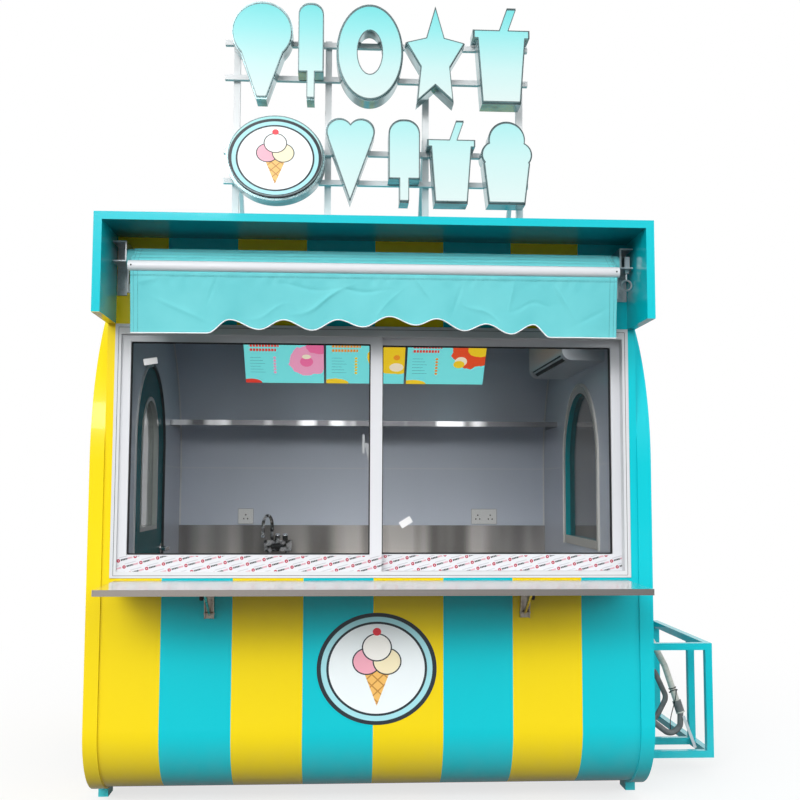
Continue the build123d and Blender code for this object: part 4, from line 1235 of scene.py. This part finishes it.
# %% The three boards
red, orange, pink = (0.78, 0.05, 0.03), (0.86, 0.30, 0.02), (0.90, 0.36, 0.55)
gold, cream, rose = (0.92, 0.62, 0.02), (0.92, 0.80, 0.60), (0.86, 0.16, 0.36)
prints = [
    menu_print("menu_print_rose", red,
               [(pink, (0.35, 0.16), 0.105, 1.0, 0.05), (rose, (0.41, 0.26), 0.05, 1.4, 0.02),
                (rose, (0.34, 0.155), 0.036, 1.0, 0), (cream, (0.34, 0.19), 0.016, 1.5, 0),
                (red, (0.03, 0), 0.03, 2.0, 0)], pink),
    menu_print("menu_print_gold", orange,
               [(gold, (0.37, 0.2), 0.13, 1.1, 0.03), (cream, (0.39, 0.12), 0.03, 1.3, 0),
                (orange, (0.39, 0.19), 0.018, 1.0, 0), (gold, (0.05, 0.0), 0.035, 2.2, 0.01)], gold),
    menu_print("menu_print_red", red,
               [((0.82, 0.08, 0.02), (0.36, 0.22), 0.10, 1.15, 0.05), (gold, (0.4, 0.25), 0.05, 1.3, 0.02),
                (cream, (0.30, 0.165), 0.034, 1.0, 0), (gold, (0.29, 0.145), 0.026, 1.2, 0),
                (gold, (0.04, 0.0), 0.03, 2.4, 0)], orange),
]
for sheet, shift in zip(prints, (-1, 0, 1)):
    centre = middle[0] + shift * (board_high.x - board_low.x - board_width) / 2
    a, b = np.meshgrid([0, 1], [0, 1])
    corners = (foot + np.multiply.outer(b * board_height, rise)
               + np.stack([centre + (a - 0.5) * board_width, 0 * a, 0 * a], axis=-1))
    flat = np.stack([a * board_width, b * board_height], axis=-1).reshape(-1, 2)
    piece(sheet.material.name + "_sheet", [(corners.reshape(-1, 3), grid_quads(2, 2))], sheet,
          uv=flat, closed=False)

# %% Round badges
def badge_print(name):
    """A round badge in rings, with a wafer cone and three scoops in the middle."""
    sheet = Finish(name, (0.4, 0.8, 0.85), 0.3)
    u, v, _ = sheet.axes((0, 0, 0), source="UV")
    far = ((u * u + v * v) ** 0.5)
    black = (0.02, 0.03, 0.04)
    color = sheet.mix(far > 0.93, (0.38, 0.74, 0.80), black)
    color = sheet.mix(far.between(0.80, 0.84), color, black)
    color = sheet.mix(far < 0.80, color, (0.86, 0.93, 0.95))
    wafer = (abs(u) < (v + 0.66) * 0.36) & v.between(-0.66, 0.02)
    hatch = (((u * 5 + v * 5) % 1) < 0.16) | (((u * 5 - v * 5) % 1) < 0.16)
    color = sheet.mix(wafer, color, (0.88, 0.52, 0.14))
    color = sheet.mix(wafer & hatch, color, (0.55, 0.25, 0.05))
    scoops = ((-0.17, 0.13, 0.22, (0.90, 0.42, 0.52)), (0.17, 0.13, 0.22, (0.93, 0.83, 0.56)),
              (0.0, 0.38, 0.23, (0.94, 0.93, 0.88)))
    for x, z, reach, scoop in scoops:
        color = sheet.mix(blob(sheet, u, v, (x, z), reach + 0.022), color, black)
        color = sheet.mix(blob(sheet, u, v, (x, z), reach), color, scoop)
    color = sheet.mix(blob(sheet, u, v, (0.0, 0.66), 0.07), color, (0.80, 0.04, 0.06))
    sheet.put(base_color=color)
    return sheet


def badge(name, finish, centre, radius_x, radius_z):
    """An oval disc facing the street: rings of points, each ring a share of the full oval."""
    share, turn = np.meshgrid([0, 0.5, 1], np.linspace(0, 2 * np.pi, 97), indexing="ij")
    a, b = share * np.cos(turn), share * np.sin(turn)
    points = np.stack([centre[0] + radius_x * a, centre[1] + 0 * a, centre[2] + radius_z * b], axis=-1)
    flat = np.stack([a, b], axis=-1).reshape(-1, 2)
    quads = grid_quads(3, 97)[:, ::-1]
    piece(name, [(points.reshape(-1, 3), quads)], finish, uv=flat, closed=False)


front_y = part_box("front_wall")[0].y
badge("front_badge", badge_print("front_badge_print"),
      (middle[0] + 14 * mm, front_y - 0.7 * mm, 552 * mm), 232 * mm, 213 * mm)

# %% [markdown]
# ## The sign's faces
# Each shape is a shallow metal can with a lit acrylic face. The glow runs from aqua at the top of a
# row to nearly white at its foot. Lamps inside each can would need clear acrylic and many samples, so
# the face itself gives off a soft light, whose colour follows the height inside each row. A dark trim
# holds each face in its can. One of the shapes has a small gap between its lobes, which two caps close.

# %% Lit acrylic
face_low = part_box("sign_faces")[0]
row_split = face_low.z + 325 * mm + 30 * mm
low_row, high_row, row_gap = 316 * mm, 364 * mm, 36 * mm
acrylic = Finish("lit_acrylic", (0.25, 0.7, 0.7), 0.3, specular_ior_level=0.3)
height = acrylic.axes((0, 0, 0))[2]
upper = height > row_split
in_low_row = (height - face_low.z) / low_row * 0.62
in_high_row = (height - row_split - row_gap) / high_row
share = in_low_row * (1 - upper) + in_high_row * upper
glow_stops = [(0.0, (0.84, 1.0, 0.98)), (0.35, (0.68, 0.99, 0.98)),
              (0.75, (0.36, 0.93, 0.94)), (1.0, (0.22, 0.86, 0.88))]
wash = acrylic.node("ShaderNodeValToRGB", {"stops": glow_stops}, {0: share})
acrylic.put(base_color=acrylic.mix(0.65, wash, (0.0, 0.0, 0.0)), emission_color=wash, emission_strength=0.52)
dress("sign_faces", acrylic)
print("rows part at", row_split)

# %% A dark trim round each lit face
trim_grey = Finish("acrylic_trim", (0.20, 0.27, 0.28), 0.3, 0.6)
trim_grey.put(roughness=trim_grey.noise(0.02) * 0.2 + 0.2)
can_low, can_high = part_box("sign_cans")
muffin_gap = np.array((middle[0] + 493.5 * mm, face_low.y, can_low.z + 167 * mm))
face_edges = outline_of("sign_faces", to_street)
clear_of_gap = np.linalg.norm(face_edges.mean(axis=1) - muffin_gap, axis=1) > 13 * mm
face_edges = face_edges[clear_of_gap]
piece("sign_trims", [edged(face_edges, to_street, 3.4 * mm, 1.6 * mm)], trim_grey)
badge("sign_badge", badge_print("sign_badge_print"),
      (can_low.x + 187 * mm, face_low.y - 0.7 * mm, can_low.z + 162 * mm), 176 * mm, 152 * mm)

# %% Caps over the gap between the muffin's lobes
cap_radius, cap_depth, cap_sunk = 11, 5, 4.7
cap_profile = np.array([(0, cap_depth), (cap_radius, cap_depth), (cap_radius, 0), (0, 0)]) * mm
cap_profile = cap_profile - (0, cap_sunk * mm)
muffin_back = np.array((muffin_gap[0], can_high.y, muffin_gap[2]))
piece("muffin_face_cap", [turned(cap_profile, muffin_gap, to_street, 24)], acrylic)
piece("muffin_back_cap", [turned(cap_profile, muffin_back, (0, 1, 0), 24)], mirror)

# %% [markdown]
# ## Light
# The kiosk is lit as in a white studio: one large soft lamp high at the front left, a weaker one at
# the right, a dim strip inside the cabin, and the sky. An even white sky would be simplest, but its
# light comes from everywhere and leaves shapes flat. So the sky's strength is worked out from the
# direction. The light that falls is strong overhead, strongest in a band above the street and more
# so on the left, and weak at the horizon. What glass and steel mirror is a second number, dim
# towards the street and white behind. To the camera the sky stays plain white.

# %% Strength of the sky
world = bpy.data.worlds.new("studio_world")
bpy.context.scene.world = world
world.use_nodes = True
sky = Nodes(world.node_tree)
toward = sky.node("ShaderNodeTexCoord", {}, {}, "Generated")
east, north, up = sky.split(toward)
overhead = sky.eased(up, 0.05, 0.8, 0.10, 0.80)
street_band = sky.eased(up, 0.03, 0.23, 0.0, 1.0) * sky.eased(up, 0.48, 0.76, 1.0, 0.0)
street_side = sky.eased(north, -0.85, 0.0, 2.75, 0.35) * sky.eased(east, -0.8, 0.8, 1.26, 0.70)
sky_light = overhead + street_band * street_side
print("nodes for the light that falls", len(sky.tree.nodes))

# %% What mirrors and the camera show of it
mirrored = sky.eased(north, -0.35, 0.1, 0.22, 1.0)
strength = sky.choose(sky.ray("Glossy"), sky_light, mirrored)
strength = sky.choose(sky.ray("Camera") | sky.ray("Transmission"), strength, 1.0)
background = sky.tree.nodes["Background"]
sky.plug(background.inputs["Color"], (1, 1, 1))
sky.plug(background.inputs["Strength"], strength)
print("sky nodes", len(sky.tree.nodes))

# %% [markdown]
# ## Floor
# A white floor would throw so much light up that the hood's underside turned pale. This one is dark
# grey to the light that bounces from it and nearly white to the camera, and it fades into the sky
# with the distance from the kiosk, so that no horizon shows.

# %% Floor
half_floor = 30
floor_mesh = bpy.data.meshes.new("studio_floor")
floor_mesh.from_pydata([(-half_floor, -half_floor, 0), (half_floor, -half_floor, 0),
                        (half_floor, half_floor, 0), (-half_floor, half_floor, 0)], [], [(0, 1, 2, 3)])
floor = bpy.data.objects.new("studio_floor", floor_mesh)
bpy.context.scene.collection.objects.link(floor)
pale = Finish("pale_floor", (0.9, 0.9, 0.9), 0.9)
seen = pale.ray("Camera") | pale.ray("Transmission") | (pale.ray("Glossy") * 0.2)
pale.put(base_color=pale.mix(seen, (0.11, 0.11, 0.11), (0.9, 0.9, 0.9)))
spot = Field(pale, pale.coordinates.outputs["Object"])
reach = pale.node("ShaderNodeVectorMath", {"operation": "LENGTH"}, {0: spot}, "Value")
fade = pale.eased(reach, 1.2, 4.5, 0.72, 1.0)
glow = pale.node("ShaderNodeEmission", {}, {"Color": (1, 1, 1)})
matt = Field(pale, pale.shader.outputs[0])
pale.plug(pale.output.inputs[0], pale.node("ShaderNodeMixShader", {}, {0: fade * seen, 1: matt, 2: glow}))
floor_mesh.materials.append(pale.material)
print("floor", 2 * half_floor, "m wide")


# %% Lamps
def softbox(name, place, aim, width, height, watts, spread=180):
    """A flat area lamp turned to look at a point; a small spread keeps its light to a beam."""
    data = bpy.data.lights.new(name, "AREA")
    data.shape = "RECTANGLE"
    data.size, data.size_y, data.energy, data.spread = width, height, watts, math.radians(spread)
    lamp = bpy.data.objects.new(name, data)
    bpy.context.scene.collection.objects.link(lamp)
    lamp.location = place
    lamp.rotation_euler = (Vector(aim) - Vector(place)).to_track_quat("-Z", "Y").to_euler()


softbox("front_softbox", (-4.6, -11.9, 7.0), (middle[0], middle[1] - 1, 1.1), 6.0, 3.4, 520)
window_top, bench_front = (middle[0], middle[1] - 0.80, 1.86), (middle[0], middle[1] + 0.93, 0.75)
softbox("cabin_softbox", window_top, bench_front, 1.7, 0.2, 3.6, spread=80)
softbox("side_softbox", (5.6, -2.6, 3.0), (middle[0], middle[1], 1.1), 2.4, 2.0, 35)
print("lamps ready")
